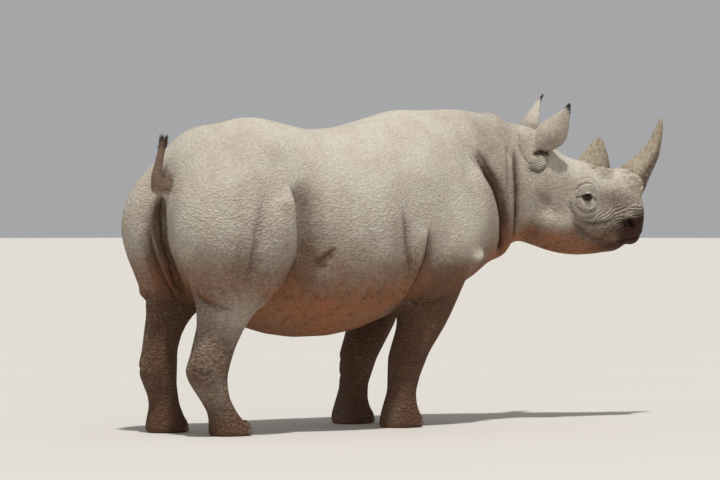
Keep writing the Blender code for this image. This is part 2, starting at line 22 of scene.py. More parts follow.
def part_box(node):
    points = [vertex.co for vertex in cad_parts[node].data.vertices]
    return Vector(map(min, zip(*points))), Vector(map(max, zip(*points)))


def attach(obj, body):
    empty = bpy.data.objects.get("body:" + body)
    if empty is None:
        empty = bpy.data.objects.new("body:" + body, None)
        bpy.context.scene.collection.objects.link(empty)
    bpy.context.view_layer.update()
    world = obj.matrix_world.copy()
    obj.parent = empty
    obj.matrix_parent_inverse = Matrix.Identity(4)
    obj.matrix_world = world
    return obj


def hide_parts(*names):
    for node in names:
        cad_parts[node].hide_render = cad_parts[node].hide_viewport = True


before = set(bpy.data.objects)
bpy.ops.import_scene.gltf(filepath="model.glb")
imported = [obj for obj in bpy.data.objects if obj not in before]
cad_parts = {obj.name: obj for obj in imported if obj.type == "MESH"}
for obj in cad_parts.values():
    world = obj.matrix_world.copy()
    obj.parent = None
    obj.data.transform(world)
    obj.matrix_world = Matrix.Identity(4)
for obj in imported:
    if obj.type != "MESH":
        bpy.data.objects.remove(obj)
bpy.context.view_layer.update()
LOG = logging.getLogger("rhinoceros")
BODY = "root"

Array = np.ndarray
Point = tuple[float, float, float]
Colour = tuple[float, float, float, float]
Socket = bpy.types.NodeSocket
Node = bpy.types.Node
Mesh = bpy.types.Mesh
Thing = bpy.types.Object
Material = bpy.types.Material
Shape = bmesh.types.BMesh

FULL_TURN = 6.283
GOLDEN_ANGLE = 2.399963


# --- small tools for numbers ---------------------------------------------------------------------
def tone(red: int, green: int, blue: int) -> Colour:
    """Turns a paint swatch into the colour a shader wants.

    Args:
        red: Red of the swatch, 0 to 255.
        green: Green of the swatch, 0 to 255.
        blue: Blue of the swatch, 0 to 255.

    Returns:
        The linear colour with full alpha.
    """
    parts = (value / 255 for value in (red, green, blue))
    linear = [p / 12.92 if p <= 0.04045 else ((p + 0.055) / 1.055) ** 2.4 for p in parts]
    return (linear[0], linear[1], linear[2], 1.0)


def ease(low: float, high: float, value: Array) -> Array:
    """A smooth step.

    Args:
        low: Where the step starts, at 0.
        high: Where the step ends, at 1. It may lie below low.
        value: What is measured.

    Returns:
        The step, from 0 to 1.
    """
    share = np.clip((value - low) / (high - low), 0.0, 1.0)
    return share * share * (3.0 - 2.0 * share)


def blot(points: Array, size: float, seed: int) -> Array:
    """Soft random blots in space.

    Args:
        points: Places, one row each.
        size: About the width of a blot.
        seed: Picks the pattern.

    Returns:
        A number from -1 to 1 for each place.
    """
    cell = points / size
    whole = np.floor(cell).astype(np.int64)
    part = cell - whole
    part = part * part * (3.0 - 2.0 * part)
    total = np.zeros(len(points))
    for corner in range(8):
        step = np.array([corner & 1, corner >> 1 & 1, corner >> 2 & 1])
        spot = whole + step
        key = spot[:, 0] * 73856093 ^ spot[:, 1] * 19349663 ^ spot[:, 2] * 83492791 ^ seed * 2654435
        key = (key ^ key >> 13) * 1274126177
        value = ((key ^ key >> 16) & 0xFFFF) / 32767.5 - 1.0
        share = np.where(step, part, 1.0 - part)
        total += value * share[:, 0] * share[:, 1] * share[:, 2]
    return total


def smooth_path(rows: Sequence[Point], step: float = 0.008) -> Array:
    """A curve through the given points.

    Args:
        rows: The points, in order.
        step: About how far apart the made points are.

    Returns:
        Points along the curve, one row each.
    """
    given = np.array(rows, float)
    ends = np.vstack([2 * given[0] - given[1], given, 2 * given[-1] - given[-2]])
    made = []
    for i in range(1, len(ends) - 2):
        a, b, c, d = ends[i - 1 : i + 3]
        count = max(2, int(norm(c - b) / step))
        t = np.linspace(0.0, 1.0, count, endpoint=False)[:, None]
        made.append(
            0.5 * (2 * b + (c - a) * t + (2 * a - 5 * b + 4 * c - d) * t**2 + (3 * b - a - 3 * c + d) * t**3)
        )
    made.append(given[-1:])
    return np.vstack(made)


def trail(*steps: int) -> tuple[Point, ...]:
    """Points given in millimetres, three numbers each: along, out and up."""
    return tuple((x / 1000, y / 1000, z / 1000) for x, y, z in zip(steps[::3], steps[1::3], steps[2::3]))


def unit(way: Array) -> Array:
    """The same direction with length 1."""
    return way / norm(way)


@dataclass(frozen=True)
class NeckBend:
    """The round arc on which the neck swings the head to the animal's right."""

    start: float = 0.9
    end: float = 1.4
    turn: float = math.radians(18.0)
    shift: float = 0.68915

    @property
    def radius(self) -> float:
        """Radius of the arc along the spine."""
        return (self.end - self.start) / self.turn

    def to_frame(self, points: Array) -> Array:
        """Places straight-spine points in the frame.

        Args:
            points: Points on the straight spine, one row each.

        Returns:
            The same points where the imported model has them.
        """
        along, out, up = points[:, 0], points[:, 1], points[:, 2]
        angle = self.turn * np.clip((along - self.start) / (self.end - self.start), 0.0, 1.0)
        past = np.maximum(along - self.end, 0.0)
        sine, cosine = np.sin(angle), np.cos(angle)
        x = np.minimum(along, self.start) + self.radius * sine + past * cosine + out * sine
        y = -self.radius * (1.0 - cosine) - past * sine + out * cosine
        return np.stack([x - self.shift, y, up], axis=1)

    def to_straight(self, points: Array) -> Array:
        """Takes points of the frame back to the straight spine.

        Args:
            points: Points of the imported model, one row each.

        Returns:
            The same points on the straight spine.
        """
        x, y = points[:, 0] + self.shift, points[:, 1]
        ahead = x - self.start
        angle = np.arctan2(ahead, y + self.radius)
        on_arc = (ahead > 0) & (angle <= self.turn)
        past = (ahead > 0) & (angle > self.turn)
        sine, cosine = math.sin(self.turn), math.cos(self.turn)
        east = x - (self.start + self.radius * sine)
        north = y + self.radius * (1.0 - cosine)
        along, out = x.copy(), y.copy()
        along[on_arc] = self.start + angle[on_arc] * self.radius
        out[on_arc] = np.hypot(ahead, y + self.radius)[on_arc] - self.radius
        along[past] = (self.end + east * cosine - north * sine)[past]
        out[past] = (east * sine + north * cosine)[past]
        return np.stack([along, out, points[:, 2]], axis=1)


BEND = NeckBend()


# --- small tools for meshes ----------------------------------------------------------------------
def points_of(mesh: Mesh) -> Array:
    """The mesh's vertices, one row each."""
    flat = np.empty(len(mesh.vertices) * 3, np.float32)
    mesh.vertices.foreach_get("co", flat)
    return flat.reshape(-1, 3).astype(float)


def move_points(mesh: Mesh, points: Array) -> None:
    """Puts the mesh's vertices at the given rows."""
    mesh.vertices.foreach_set("co", points.astype(np.float32).ravel())
    mesh.update()


def normals_of(mesh: Mesh) -> Array:
    """The mesh's vertex normals, one row each."""
    flat = np.empty(len(mesh.vertices) * 3, np.float32)
    mesh.vertex_normals.foreach_get("vector", flat)
    return flat.reshape(-1, 3).astype(float)


def edges_of(mesh: Mesh) -> Array:
    """The mesh's edges as pairs of vertex numbers."""
    flat = np.empty(len(mesh.edges) * 2, np.int32)
    mesh.edges.foreach_get("vertices", flat)
    return flat.reshape(-1, 2)


def triangles_in(mesh: Mesh) -> int:
    """How many triangles the mesh makes."""
    mesh.calc_loop_triangles()
    return len(mesh.loop_triangles)


def relax(points: Array, edges: Array, weight: Array, steps: int) -> Array:
    """Smooths a surface by drawing each vertex towards its neighbours.

    Args:
        points: Vertices, or other numbers for them, one row each.
        edges: Pairs of vertex numbers.
        weight: How far each vertex goes, from 0 to 1.
        steps: How often.

    Returns:
        The smoothed vertices.
    """
    a, b = np.ascontiguousarray(edges.T)
    count = len(points)
    degree = np.maximum(np.bincount(a, minlength=count) + np.bincount(b, minlength=count), 1)
    share = weight / degree
    columns = [np.ascontiguousarray(column) for column in points.T]
    for _ in range(steps):
        for k, column in enumerate(columns):
            near = np.bincount(a, column[b], count) + np.bincount(b, column[a], count)
            columns[k] = column + share * (near - degree * column)
    return np.stack(columns, axis=1)


def coarseness(mesh: Mesh) -> Array:
    """Mean length of the edges at each vertex."""
    points, edges = points_of(mesh), edges_of(mesh)
    length = norm(points[edges[:, 0]] - points[edges[:, 1]], axis=1)
    count = np.bincount(edges.ravel(), minlength=len(points))
    return np.bincount(edges.ravel(), np.repeat(length, 2), len(points)) / np.maximum(count, 1)


def new_object(name: str, data: bpy.types.ID) -> Thing:
    """Links a new object at the origin.

    Args:
        name: Name of the object.
        data: Its mesh, lamp or camera.

    Returns:
        The object.
    """
    made = bpy.data.objects.new(name, data)
    bpy.context.scene.collection.objects.link(made)
    return made


def settled(made: Thing) -> Mesh:
    """Turns an object's modifiers into plain mesh and removes them.

    Args:
        made: The object, which takes the new mesh.

    Returns:
        The new mesh.
    """
    graph = bpy.context.evaluated_depsgraph_get()
    mesh = bpy.data.meshes.new_from_object(made.evaluated_get(graph))
    old = made.data
    made.modifiers.clear()
    made.data = mesh
    bpy.data.meshes.remove(old)
    return mesh


def dress(made: Thing, material: Material) -> None:
    """Gives the object one material and smooth shading."""
    made.data.materials.clear()
    made.data.materials.append(material)
    made.data.polygons.foreach_set("material_index", [0] * len(made.data.polygons))
    made.data.polygons.foreach_set("use_smooth", [True] * len(made.data.polygons))


def give_values(mesh: Mesh, name: str, values: Array) -> None:
    """Stores one number for each vertex under a name that the shaders read."""
    layer = mesh.attributes.new(name, "FLOAT", "POINT")
    layer.data.foreach_set("value", values.astype(np.float32))


def give_vectors(mesh: Mesh, name: str, rows: Sequence[Array]) -> None:
    """Stores one vector for each vertex under a name that the planting reads."""
    layer = mesh.attributes.new(name, "FLOAT_VECTOR", "POINT")
    layer.data.foreach_set("vector", np.array(rows, np.float32).ravel())


def mesh_from(shape: Shape, name: str) -> Mesh:
    """Turns a finished shape into a mesh and frees it.

    Args:
        shape: The shape.
        name: Name of the mesh.

    Returns:
        The mesh.
    """
    mesh = bpy.data.meshes.new(name)
    shape.to_mesh(mesh)
    shape.free()
    return mesh


def turned(way: Vector, axis: str) -> Matrix:
    """The turn that points an axis of an object in a direction."""
    return way.to_track_quat(axis, "Y").to_matrix().to_4x4()


def node_copy(name: str, grow: float = 0.0) -> Shape:
    """A merged copy of a frame node.

    Args:
        name: The node.
        grow: How far its surface moves out.

    Returns:
        The copy.
    """
    mesh = bmesh.new()
    mesh.from_mesh(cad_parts[name].data)
    bmesh.ops.remove_doubles(mesh, verts=mesh.verts, dist=1e-5)
    mesh.normal_update()
    if grow:
        moved = [vertex.co + vertex.normal * grow for vertex in mesh.verts]
        for vertex, place in zip(mesh.verts, moved):
            vertex.co = place
    return mesh


def joined(parts: Iterable[Shape], name: str) -> Mesh:
    """One mesh of several, which are freed.

    Args:
        parts: The meshes.
        name: Name of the new mesh.

    Returns:
        The new mesh.
    """
    whole = bmesh.new()
    for part in parts:
        spare = mesh_from(part, "spare")
        whole.from_mesh(spare)
        bpy.data.meshes.remove(spare)
    return mesh_from(whole, name)


# --- small tools for shaders ---------------------------------------------------------------------
class Graph:
    """A node tree while it is being wired."""

    def __init__(self, tree: bpy.types.NodeTree) -> None:
        """Takes the tree to wire."""
        self.tree = tree

    def feed(self, socket: Socket, value: object) -> None:
        """Links an output to the socket, or sets the socket's own value."""
        if isinstance(value, bpy.types.NodeSocket):
            self.tree.links.new(value, socket)
        else:
            socket.default_value = value

    def add(self, kind: str, inputs: dict | None = None, **settings: object) -> Node:
        """Adds a node.

        Args:
            kind: The node's type.
            inputs: Values or outputs for its sockets, by name or number.
            settings: Its other properties.

        Returns:
            The node.
        """
        node = self.tree.nodes.new(kind)
        for name, value in settings.items():
            setattr(node, name, value)
        for key, value in (inputs or {}).items():
            self.feed(node.inputs[key], value)
        return node

    def maths(self, operation: str, *values: object, clamp: bool = False) -> Socket:
        """Adds a Math node.

        Args:
            operation: What it does.
            values: Its inputs, numbers or outputs.
            clamp: Keep the result from 0 to 1.

        Returns:
            Its output.
        """
        node = self.add("ShaderNodeMath", operation=operation, use_clamp=clamp)
        for socket, value in zip(node.inputs, values):
            self.feed(socket, value)
        return node.outputs[0]

    def times(self, first: object, second: object) -> Socket:
        """One number times another."""
        return self.maths("MULTIPLY", first, second)

    def plus(self, first: object, second: object, third: object) -> Socket:
        """The first number times the second, plus the third."""
        return self.maths("MULTIPLY_ADD", first, second, third)

    def step(
        self, value: object, low: object, high: object, start: object = 0.0, end: object = 1.0
    ) -> Socket:
        """Adds a smooth step.

        Args:
            value: What is measured.
            low: Where the step starts.
            high: Where it ends.
            start: Result before the step.
            end: Result after it.

        Returns:
            Its output.
        """
        inputs = {0: value, 1: low, 2: high, 3: start, 4: end}
        node = self.add("ShaderNodeMapRange", inputs, interpolation_type="SMOOTHSTEP")
        return node.outputs[0]

    def blend(self, share: object, first: object, second: object, how: str = "MIX") -> Socket:
        """Mixes two colours.

        Args:
            share: How much of the second shows.
            first: The colour underneath.
            second: The colour on top.
            how: The kind of mix.

        Returns:
            The mixed colour.
        """
        node = self.add("ShaderNodeMix", data_type="RGBA", blend_type=how)
        for socket, value in ((0, share), (6, first), (7, second)):
            self.feed(node.inputs[socket], value)
        return node.outputs[2]

    def layers(self, colour: object, *coats: tuple[object, Colour]) -> Socket:
        """Lays coats of colour over each other, each with its own cover."""
        for cover, coat in coats:
            colour = self.blend(cover, colour, coat)
        return colour

    def noise(self, place: object, scale: float, detail: float = 2.0, rough: float = 0.5) -> Socket:
        """Adds a noise texture and returns its value, about 0.5 on average."""
        inputs = {"Vector": place, "Scale": scale, "Detail": detail, "Roughness": rough}
        return self.add("ShaderNodeTexNoise", inputs).outputs[0]

    def vectors(self, operation: str, first: object, second: object) -> Socket:
        """Adds a Vector Math node, whose second input is a number when it scales."""
        inputs = {0: first, "Scale" if operation == "SCALE" else 1: second}
        return self.add("ShaderNodeVectorMath", inputs, operation=operation).outputs[0]

    def stored(self, name: str, kind: str = "FLOAT_VECTOR") -> Socket:
        """Reads, in a planting tree, what the points or the copy carry under a name."""
        return self.add("GeometryNodeInputNamedAttribute", {"Name": name}, data_type=kind).outputs[0]

    def cells(self, place: object, scale: float, feature: str = "DISTANCE_TO_EDGE") -> Socket:
        """Adds a cell texture and returns its distance."""
        node = self.add("ShaderNodeTexVoronoi", feature=feature)
        self.feed(node.inputs["Vector"], place)
        self.feed(node.inputs["Scale"], scale)
        return node.outputs["Distance"]

    def stretched(self, place: object, scale: Point) -> Socket:
        """Scales coordinates by a different amount along each axis."""
        return self.add("ShaderNodeMapping", {"Vector": place, "Scale": scale}).outputs[0]

    def value(self, name: str) -> Socket:
        """Reads a number stored on the mesh."""
        return self.add("ShaderNodeAttribute", attribute_name=name).outputs["Fac"]


class Effect:
    """A shader node group with named inputs and outputs, built once."""

    def __init__(self, name: str, inputs: dict[str, object], outputs: Sequence[str]) -> None:
        """Makes the empty group.

        Args:
            name: Name of the group.
            inputs: Default of each input. "place" makes it a vector and four numbers a colour.
            outputs: Names of the outputs. Colour is a colour, and the others are numbers.
        """
        self.tree = bpy.data.node_groups.new(name, "ShaderNodeTree")
        self.graph = Graph(self.tree)
        for label, value in inputs.items():
            kind = "NodeSocketFloat"
            if value == "place":
                kind = "NodeSocketVector"
            elif isinstance(value, tuple):
                kind = "NodeSocketColor"
            socket = self.tree.interface.new_socket(label, in_out="INPUT", socket_type=kind)
            if value != "place":
                socket.default_value = value
        for label in outputs:
            kind = "NodeSocketColor" if label == "Colour" else "NodeSocketFloat"
            self.tree.interface.new_socket(label, in_out="OUTPUT", socket_type=kind)
        self.given = self.graph.add("NodeGroupInput").outputs
        self.made = self.graph.add("NodeGroupOutput").inputs

    def use(self, graph: Graph, **inputs: object) -> bpy.types.NodeOutputs:
        """Places the group in a material.

        Args:
            graph: The material's graph.
            inputs: Values or outputs for its sockets.

        Returns:
            Its outputs.
        """
        node = graph.add("ShaderNodeGroup", node_tree=self.tree)
        for label, value in inputs.items():
            graph.feed(node.inputs[label], value)
        return node.outputs


def pebble_effect() -> Effect:
    """Pebbles of two sizes with cracks between them.

    Returns:
        The group, with Height in metres and Cracks from 0 to 1.
    """
    effect = Effect("pebbles", {"Place": "place", "Amount": 0.5}, ("Height", "Cracks"))
    graph, place = effect.graph, effect.given["Place"]
    drift = graph.add("ShaderNodeTexNoise", {"Vector": place, "Scale": 26.0, "Detail": 2.0})
    shift = graph.vectors("SUBTRACT", drift.outputs["Color"], (0.5, 0.5, 0.5))
    warped = graph.vectors("ADD", place, graph.vectors("SCALE", shift, 0.016))
    rows = graph.stretched(warped, (0.85, 0.85, 1.3))
    large = graph.cells(rows, 56.0, "F1")
    small = graph.cells(rows, 118.0, "F1")
    tiny = graph.noise(place, 230.0, 3.0, 0.6)
    amount = effect.given["Amount"]
    large_dome = graph.times(graph.step(large, 0.72, 0.08), amount)
    small_dome = graph.step(small, 0.7, 0.1)
    height = graph.times(large_dome, 0.0088)
    height = graph.plus(small_dome, graph.plus(amount, 0.0014, 0.0012), height)
    height = graph.plus(tiny, 0.001, height)
    graph.feed(effect.made["Height"], height)
    large_crack = graph.times(graph.step(large, 0.4, 0.7), amount)
    small_crack = graph.times(graph.step(small, 0.42, 0.72), 0.4)
    graph.feed(effect.made["Cracks"], graph.maths("MAXIMUM", large_crack, small_crack))
    return effect


def wrinkle_effect() -> Effect:
    """Near-parallel wrinkles counted by a phase that the mesh carries.

    Returns:
        The group, with Height in metres and Grooves from 0 to 1.
    """
    effect = Effect("wrinkles", {"Place": "place", "Phase": 0.0, "Amount": 0.0}, ("Height", "Grooves"))
    graph, place = effect.graph, effect.given["Place"]
    wander = graph.maths("SUBTRACT", graph.noise(place, 75.0), 0.5)
    wander = graph.plus(wander, 0.28, effect.given["Phase"])
    wave = graph.maths("ABSOLUTE", graph.maths("SINE", graph.times(wander, math.pi)))
    ridge = graph.maths("POWER", wave, 0.6)
    patchy = graph.step(graph.noise(place, 14.0), 0.3, 0.55, 0.5, 1.0)
    amount = graph.times(effect.given["Amount"], patchy)
    height = graph.times(graph.times(ridge, amount), 0.0045)
    graph.feed(effect.made["Height"], height)
    groove = graph.step(wave, 0.0, 0.42, 1.0, 0.0)
    graph.feed(effect.made["Grooves"], graph.times(groove, amount))
    return effect


def crease_effect() -> Effect:
    """A single fold line, drawn from the signed distance that the mesh carries.

    Returns:
        The group, with Height in metres and Groove from 0 to 1.
    """
    inputs = {"Place": "place", "Distance": 0.0, "Amount": 0.0, "Width": 0.008}
    effect = Effect("crease", inputs, ("Height", "Groove"))
    graph = effect.graph
    wander = graph.maths("SUBTRACT", graph.noise(effect.given["Place"], 60.0), 0.5)
    distance = graph.plus(wander, 0.006, effect.given["Distance"])
    share = graph.maths("DIVIDE", distance, effect.given["Width"])
    line = graph.maths("POWER", math.e, graph.times(graph.times(share, share), -1.0))
    groove = graph.times(line, effect.given["Amount"])
    graph.feed(effect.made["Groove"], groove)
    graph.feed(effect.made["Height"], graph.times(groove, -0.004))
    return effect


def dust_effect() -> Effect:
    """Dried dust over a surface, broken up and thinner in its cracks.

    Returns:
        The group, with the dusted Colour and the dust's own Cover.
    """
    inputs = {
        "Place": "place", "Under": (0.1, 0.1, 0.1, 1.0), "Dust": (0.6, 0.5, 0.4, 1.0),
        "Shade": (0.4, 0.3, 0.25, 1.0), "Amount": 0.5, "Cracks": 0.0,
    }
    effect = Effect("dust", inputs, ("Colour", "Cover"))
    graph, place = effect.graph, effect.given["Place"]
    broad = graph.noise(place, 3.2, 4.0, 0.6)
    fine = graph.noise(place, 42.0, 4.0, 0.7)
    mottle = graph.plus(fine, 0.4, graph.times(broad, 0.6))
    drift = graph.plus(graph.maths("SUBTRACT", mottle, 0.5), 1.1, effect.given["Amount"])
    cover = graph.plus(effect.given["Cracks"], -0.16, graph.step(drift, -0.04, 0.98))
    cover = graph.maths("MAXIMUM", cover, 0.0)
    streak = graph.step(graph.noise(place, 7.0, 3.0), 0.35, 0.7)
    dusty = graph.blend(graph.times(streak, 0.5), effect.given["Dust"], effect.given["Shade"])
    graph.feed(effect.made["Colour"], graph.blend(cover, effect.given["Under"], dusty))
    graph.feed(effect.made["Cover"], cover)
    return effect


def grain_effect() -> Effect:
    """Fine grain, which may be drawn out along one axis by the place that is fed in.

    Returns:
        The group, with Grain from 0 to 1 and Height in metres.
    """
    effect = Effect("grain", {"Place": "place", "Depth": 0.001}, ("Grain", "Height"))
    graph, place = effect.graph, effect.given["Place"]
    coarse = graph.noise(place, 60.0, 4.0, 0.65)
    fine = graph.noise(place, 260.0, 3.0, 0.6)
    grain = graph.plus(fine, 0.4, graph.times(coarse, 0.6))
    graph.feed(effect.made["Grain"], grain)
    graph.feed(effect.made["Height"], graph.times(grain, effect.given["Depth"]))
    return effect


PEBBLES, WRINKLES, CREASE = pebble_effect(), wrinkle_effect(), crease_effect()
DUST, GRAIN = dust_effect(), grain_effect()


def new_material(name: str) -> tuple[Material, Graph, Node, Socket]:
    """Starts a node material.

    Args:
        name: Name of the material.

    Returns:
        The material, its graph, its Principled shader and its object coordinates.
    """
    material = bpy.data.materials.new(name)
    material.use_nodes = True
    graph = Graph(material.node_tree)
    shader = next(node for node in material.node_tree.nodes if node.type == "BSDF_PRINCIPLED")
    place = graph.add("ShaderNodeTexCoord").outputs["Object"]
    return material, graph, shader, place


def bumped(graph: Graph, shader: Node, height: Socket, strength: float = 1.0) -> None:
    """Feeds a height in metres to the shader's normal."""
    inputs = {"Strength": strength, "Distance": 1.0, "Height": height}
    graph.feed(shader.inputs["Normal"], graph.add("ShaderNodeBump", inputs).outputs[0])


# --- finishes ------------------------------------------------------------------------------------
@dataclass(frozen=True)
class HideFinish:
    """Thick grey-brown skin under pale dust, red below from soil and painted bounce light."""

    skin: Colour = tone(112, 93, 79)
    # Dark dirt specks, and the painted shade in cracks, wrinkles and creases.
    dirt_and_groove_shade: Colour = tone(50, 34, 27)
    limb: Colour = tone(89, 68, 54)
    dust: Colour = tone(204, 195, 180)
    old_dust: Colour = tone(186, 173, 157)
    # Red-brown of soil, which also stands for painted bounce light from the ground under the body.
    earth_and_bounce: Colour = tone(158, 99, 63)
    muzzle: Colour = tone(54, 27, 13)
    flesh: Colour = tone(176, 150, 126)
    # Black of the ear edges, and the painted shade inside the nostrils.
    fringe: Colour = tone(30, 26, 25)

    def make(self) -> Material:
        """Builds the material.

        Returns:
            The material, which reads dust, earth_and_bounce, limb, wet, flesh, black_and_hole_shade,
            pebble, fold, fold_amount, crease and crease_amount from the mesh.
        """
        material, graph, shader, place = new_material("hide")
        value = graph.value
        pebbles = PEBBLES.use(graph, Place=place, Amount=value("pebble"))
        folds = WRINKLES.use(graph, Place=place, Phase=value("fold"), Amount=value("fold_amount"))
        crease = CREASE.use(graph, Place=place, Distance=value("crease"), Amount=value("crease_amount"))
        grain = GRAIN.use(graph, Place=place, Depth=0.001)
        grooves = graph.maths("MAXIMUM", folds["Grooves"], crease["Groove"])
        cracks = graph.maths("MAXIMUM", pebbles["Cracks"], graph.times(grooves, 0.9))
        dusted = DUST.use(
            graph, Place=place, Under=graph.blend(value("limb"), self.skin, self.limb), Dust=self.dust,
            Shade=self.old_dust, Amount=value("dust"), Cracks=cracks,
        )
        patches = graph.step(graph.noise(place, 8.0, 4.0, 0.7), 0.36, 0.62, 0.78, 1.1)
        earth_and_bounce_cover = graph.maths("MULTIPLY", value("earth_and_bounce"), patches, clamp=True)
        specks = graph.step(graph.noise(place, 24.0, 6.0, 0.8), 0.5, 0.64)
        dirt = graph.times(graph.times(value("earth_and_bounce"), specks), 0.75)
        colour = graph.layers(
            dusted["Colour"], (earth_and_bounce_cover, self.earth_and_bounce), (dirt, self.dirt_and_groove_shade), (value("flesh"), self.flesh)
        )
        mottle = graph.step(grain["Grain"], 0.35, 0.65, 0.84, 1.08)
        grey = graph.add("ShaderNodeCombineColor", {0: mottle, 1: mottle, 2: mottle}).outputs[0]
        # Cracks between pebbles and the grooves of wrinkles and creases are darkened: painted shade in them.
        colour = graph.layers(
            graph.blend(1.0, colour, grey, "MULTIPLY"),
            (graph.times(pebbles["Cracks"], 0.16), self.dirt_and_groove_shade),
            (graph.times(folds["Grooves"], 0.8), self.dirt_and_groove_shade),
            (graph.times(crease["Groove"], 0.72), self.dirt_and_groove_shade),
            (value("wet"), self.muzzle),
            (value("black_and_hole_shade"), self.fringe),
        )
        graph.feed(shader.inputs["Base Color"], colour)
        rough = graph.step(value("wet"), 0.2, 1.0, 0.88, 0.64)
        rough = graph.maths("MULTIPLY_ADD", grain["Grain"], 0.1, rough, clamp=True)
        graph.feed(shader.inputs["Roughness"], rough)
        height = graph.maths("ADD", pebbles["Height"], folds["Height"])
        height = graph.maths("ADD", height, graph.maths("ADD", crease["Height"], grain["Height"]))
        bumped(graph, shader, height)
        shader.inputs["Specular IOR Level"].default_value = 0.22
        return material


@dataclass(frozen=True)
class HornFinish:
    """Weathered horn: fibrous and scurfy at the base, smoother and greyer above, with painted shade low in
    front.
    """

    body: Colour = tone(150, 134, 114)
    pale: Colour = tone(197, 184, 160)
    dark: Colour = tone(84, 58, 42)
    scurf: Colour = tone(190, 174, 152)

    def make(self) -> Material:
        # The inside of the nostril is painted near black: painted shade in the hole.
        """Builds the material.

        Returns:
            The material, which reads rise, front and around from the mesh.
        """
        material, graph, shader, place = new_material("horn")
        rise, front = graph.value("rise"), graph.value("front")
        around = graph.value("around")
        fibre = graph.add("ShaderNodeCombineXYZ", {0: around, 1: rise}).outputs[0]
        lines = graph.noise(graph.stretched(fibre, (34.0, 3.0, 1.0)), 1.0, 4.0, 0.6)
        bands = graph.noise(graph.stretched(fibre, (2.0, 26.0, 1.0)), 1.0, 3.0, 0.5)
        grain = GRAIN.use(graph, Place=place, Depth=0.0012)
        colour = graph.blend(graph.step(lines, 0.35, 0.65), self.body, self.pale)
        colour = graph.blend(graph.step(bands, 0.52, 0.72, 0.0, 0.35), colour, self.dark)
        speck = graph.cells(place, 120.0)
        low = graph.step(rise, 0.03, 0.32, 1.0, 0.0)
        colour = graph.blend(graph.times(low, 0.7), colour, self.scurf)
        colour = graph.blend(graph.times(graph.step(speck, 0.0, 0.2, 0.6, 0.0), low), colour, self.dark)
        # The lower front of the horn is darkened: partly browner horn, partly painted shade.
        shadow = graph.times(graph.step(front, 0.36, 0.74), graph.step(rise, 0.95, 0.4))
        worn = graph.times(shadow, graph.step(grain["Grain"], 0.38, 0.58, 0.6, 1.0))
        colour = graph.blend(graph.times(worn, 0.95), colour, self.dark)
        blotch = graph.step(graph.noise(place, 55.0, 6.0, 0.8), 0.47, 0.62, 0.0, 0.45)
        colour = graph.blend(blotch, colour, self.dark)
        colour = graph.blend(graph.step(grain["Grain"], 0.5, 0.66, 0.0, 0.45), colour, self.dark)
        graph.feed(shader.inputs["Base Color"], colour)
        graph.feed(shader.inputs["Roughness"], graph.step(grain["Grain"], 0.3, 0.7, 0.62, 0.82))
        height = graph.plus(lines, 0.003, graph.times(bands, 0.0026))
        height = graph.maths("ADD", height, grain["Height"])
        height = graph.plus(graph.times(graph.step(speck, 0.0, 0.3), low), 0.003, height)
        bumped(graph, shader, height)
        return material


@dataclass(frozen=True)
class NailFinish:
    """Horny toenail, ridged and rubbed with dust."""

    body: Colour = tone(84, 66, 52)
    worn: Colour = tone(122, 101, 80)

    def make(self) -> Material:
        """Builds and returns the material."""
        material, graph, shader, place = new_material("toenail")
        lines = graph.noise(graph.stretched(place, (3.0, 3.0, 90.0)), 1.0, 3.0)
        grain = GRAIN.use(graph, Place=place, Depth=0.0008)
        colour = graph.blend(graph.step(lines, 0.35, 0.65), self.body, self.worn)
        colour = graph.blend(graph.step(grain["Grain"], 0.5, 0.7, 0.0, 0.5), colour, self.worn)
        graph.feed(shader.inputs["Base Color"], colour)
        graph.feed(shader.inputs["Roughness"], graph.step(grain["Grain"], 0.3, 0.7, 0.5, 0.75))
        bumped(graph, shader, graph.plus(lines, 0.0012, grain["Height"]))
        return material


@dataclass(frozen=True)
class EyeFinish:
    """Dark brown eye under a clear wet film."""

    iris: Colour = tone(58, 36, 22)
    rim: Colour = tone(24, 16, 12)
    pupil: Colour = tone(5, 4, 4)
    white: Colour = tone(60, 44, 37)

    def make(self) -> Material:
        """Builds the material.

        Returns:
            The material, which reads axis, the distance from the middle of the eye's front.
        """
        material, graph, shader, place = new_material("eye")
        axis = graph.value("axis")
        streaks = graph.noise(place, 420.0, 3.0)
        iris = graph.blend(graph.step(streaks, 0.35, 0.65), self.rim, self.iris)
        colour = graph.blend(graph.step(axis, 0.0062, 0.0076, 1.0, 0.0), iris, self.pupil)
        colour = graph.blend(graph.step(axis, 0.0125, 0.0145), colour, self.rim)
        colour = graph.blend(graph.step(axis, 0.015, 0.018), colour, self.white)
        graph.feed(shader.inputs["Base Color"], colour)
        graph.feed(shader.inputs["Roughness"], graph.step(streaks, 0.3, 0.7, 0.1, 0.16))
        shader.inputs["Coat Weight"].default_value = 0.12
        shader.inputs["Specular IOR Level"].default_value = 0.15
        shader.inputs["Coat Roughness"].default_value = 0.03
        return material


@dataclass(frozen=True)
class HairFinish:
    """Coarse black-brown hair."""

    name: str = "hair"
    root: Colour = tone(26, 21, 19)
    tip: Colour = tone(52, 42, 36)

    def make(self) -> Material:
        """Builds and returns the material."""
        material, graph, shader, place = new_material(self.name)
        shade = graph.noise(place, 160.0, 2.0)
        colour = graph.blend(graph.step(shade, 0.4, 0.7), self.root, self.tip)
        graph.feed(shader.inputs["Base Color"], colour)
        graph.feed(shader.inputs["Roughness"], graph.step(shade, 0.3, 0.7, 0.45, 0.65))
        return material


@dataclass(frozen=True)
class FloorFinish:
    """Plain pale studio floor."""

    paint: Colour = tone(206, 201, 193)
    faded: Colour = tone(196, 190, 181)

    def make(self) -> Material:
        """Builds and returns the material."""
        material, graph, shader, place = new_material("floor")
        shade = graph.noise(place, 0.6, 2.0)
        colour = graph.blend(graph.step(shade, 0.3, 0.7, 0.0, 0.08), self.paint, self.faded)
        graph.feed(shader.inputs["Base Color"], colour)
        shader.inputs["Roughness"].default_value = 0.9
        return material


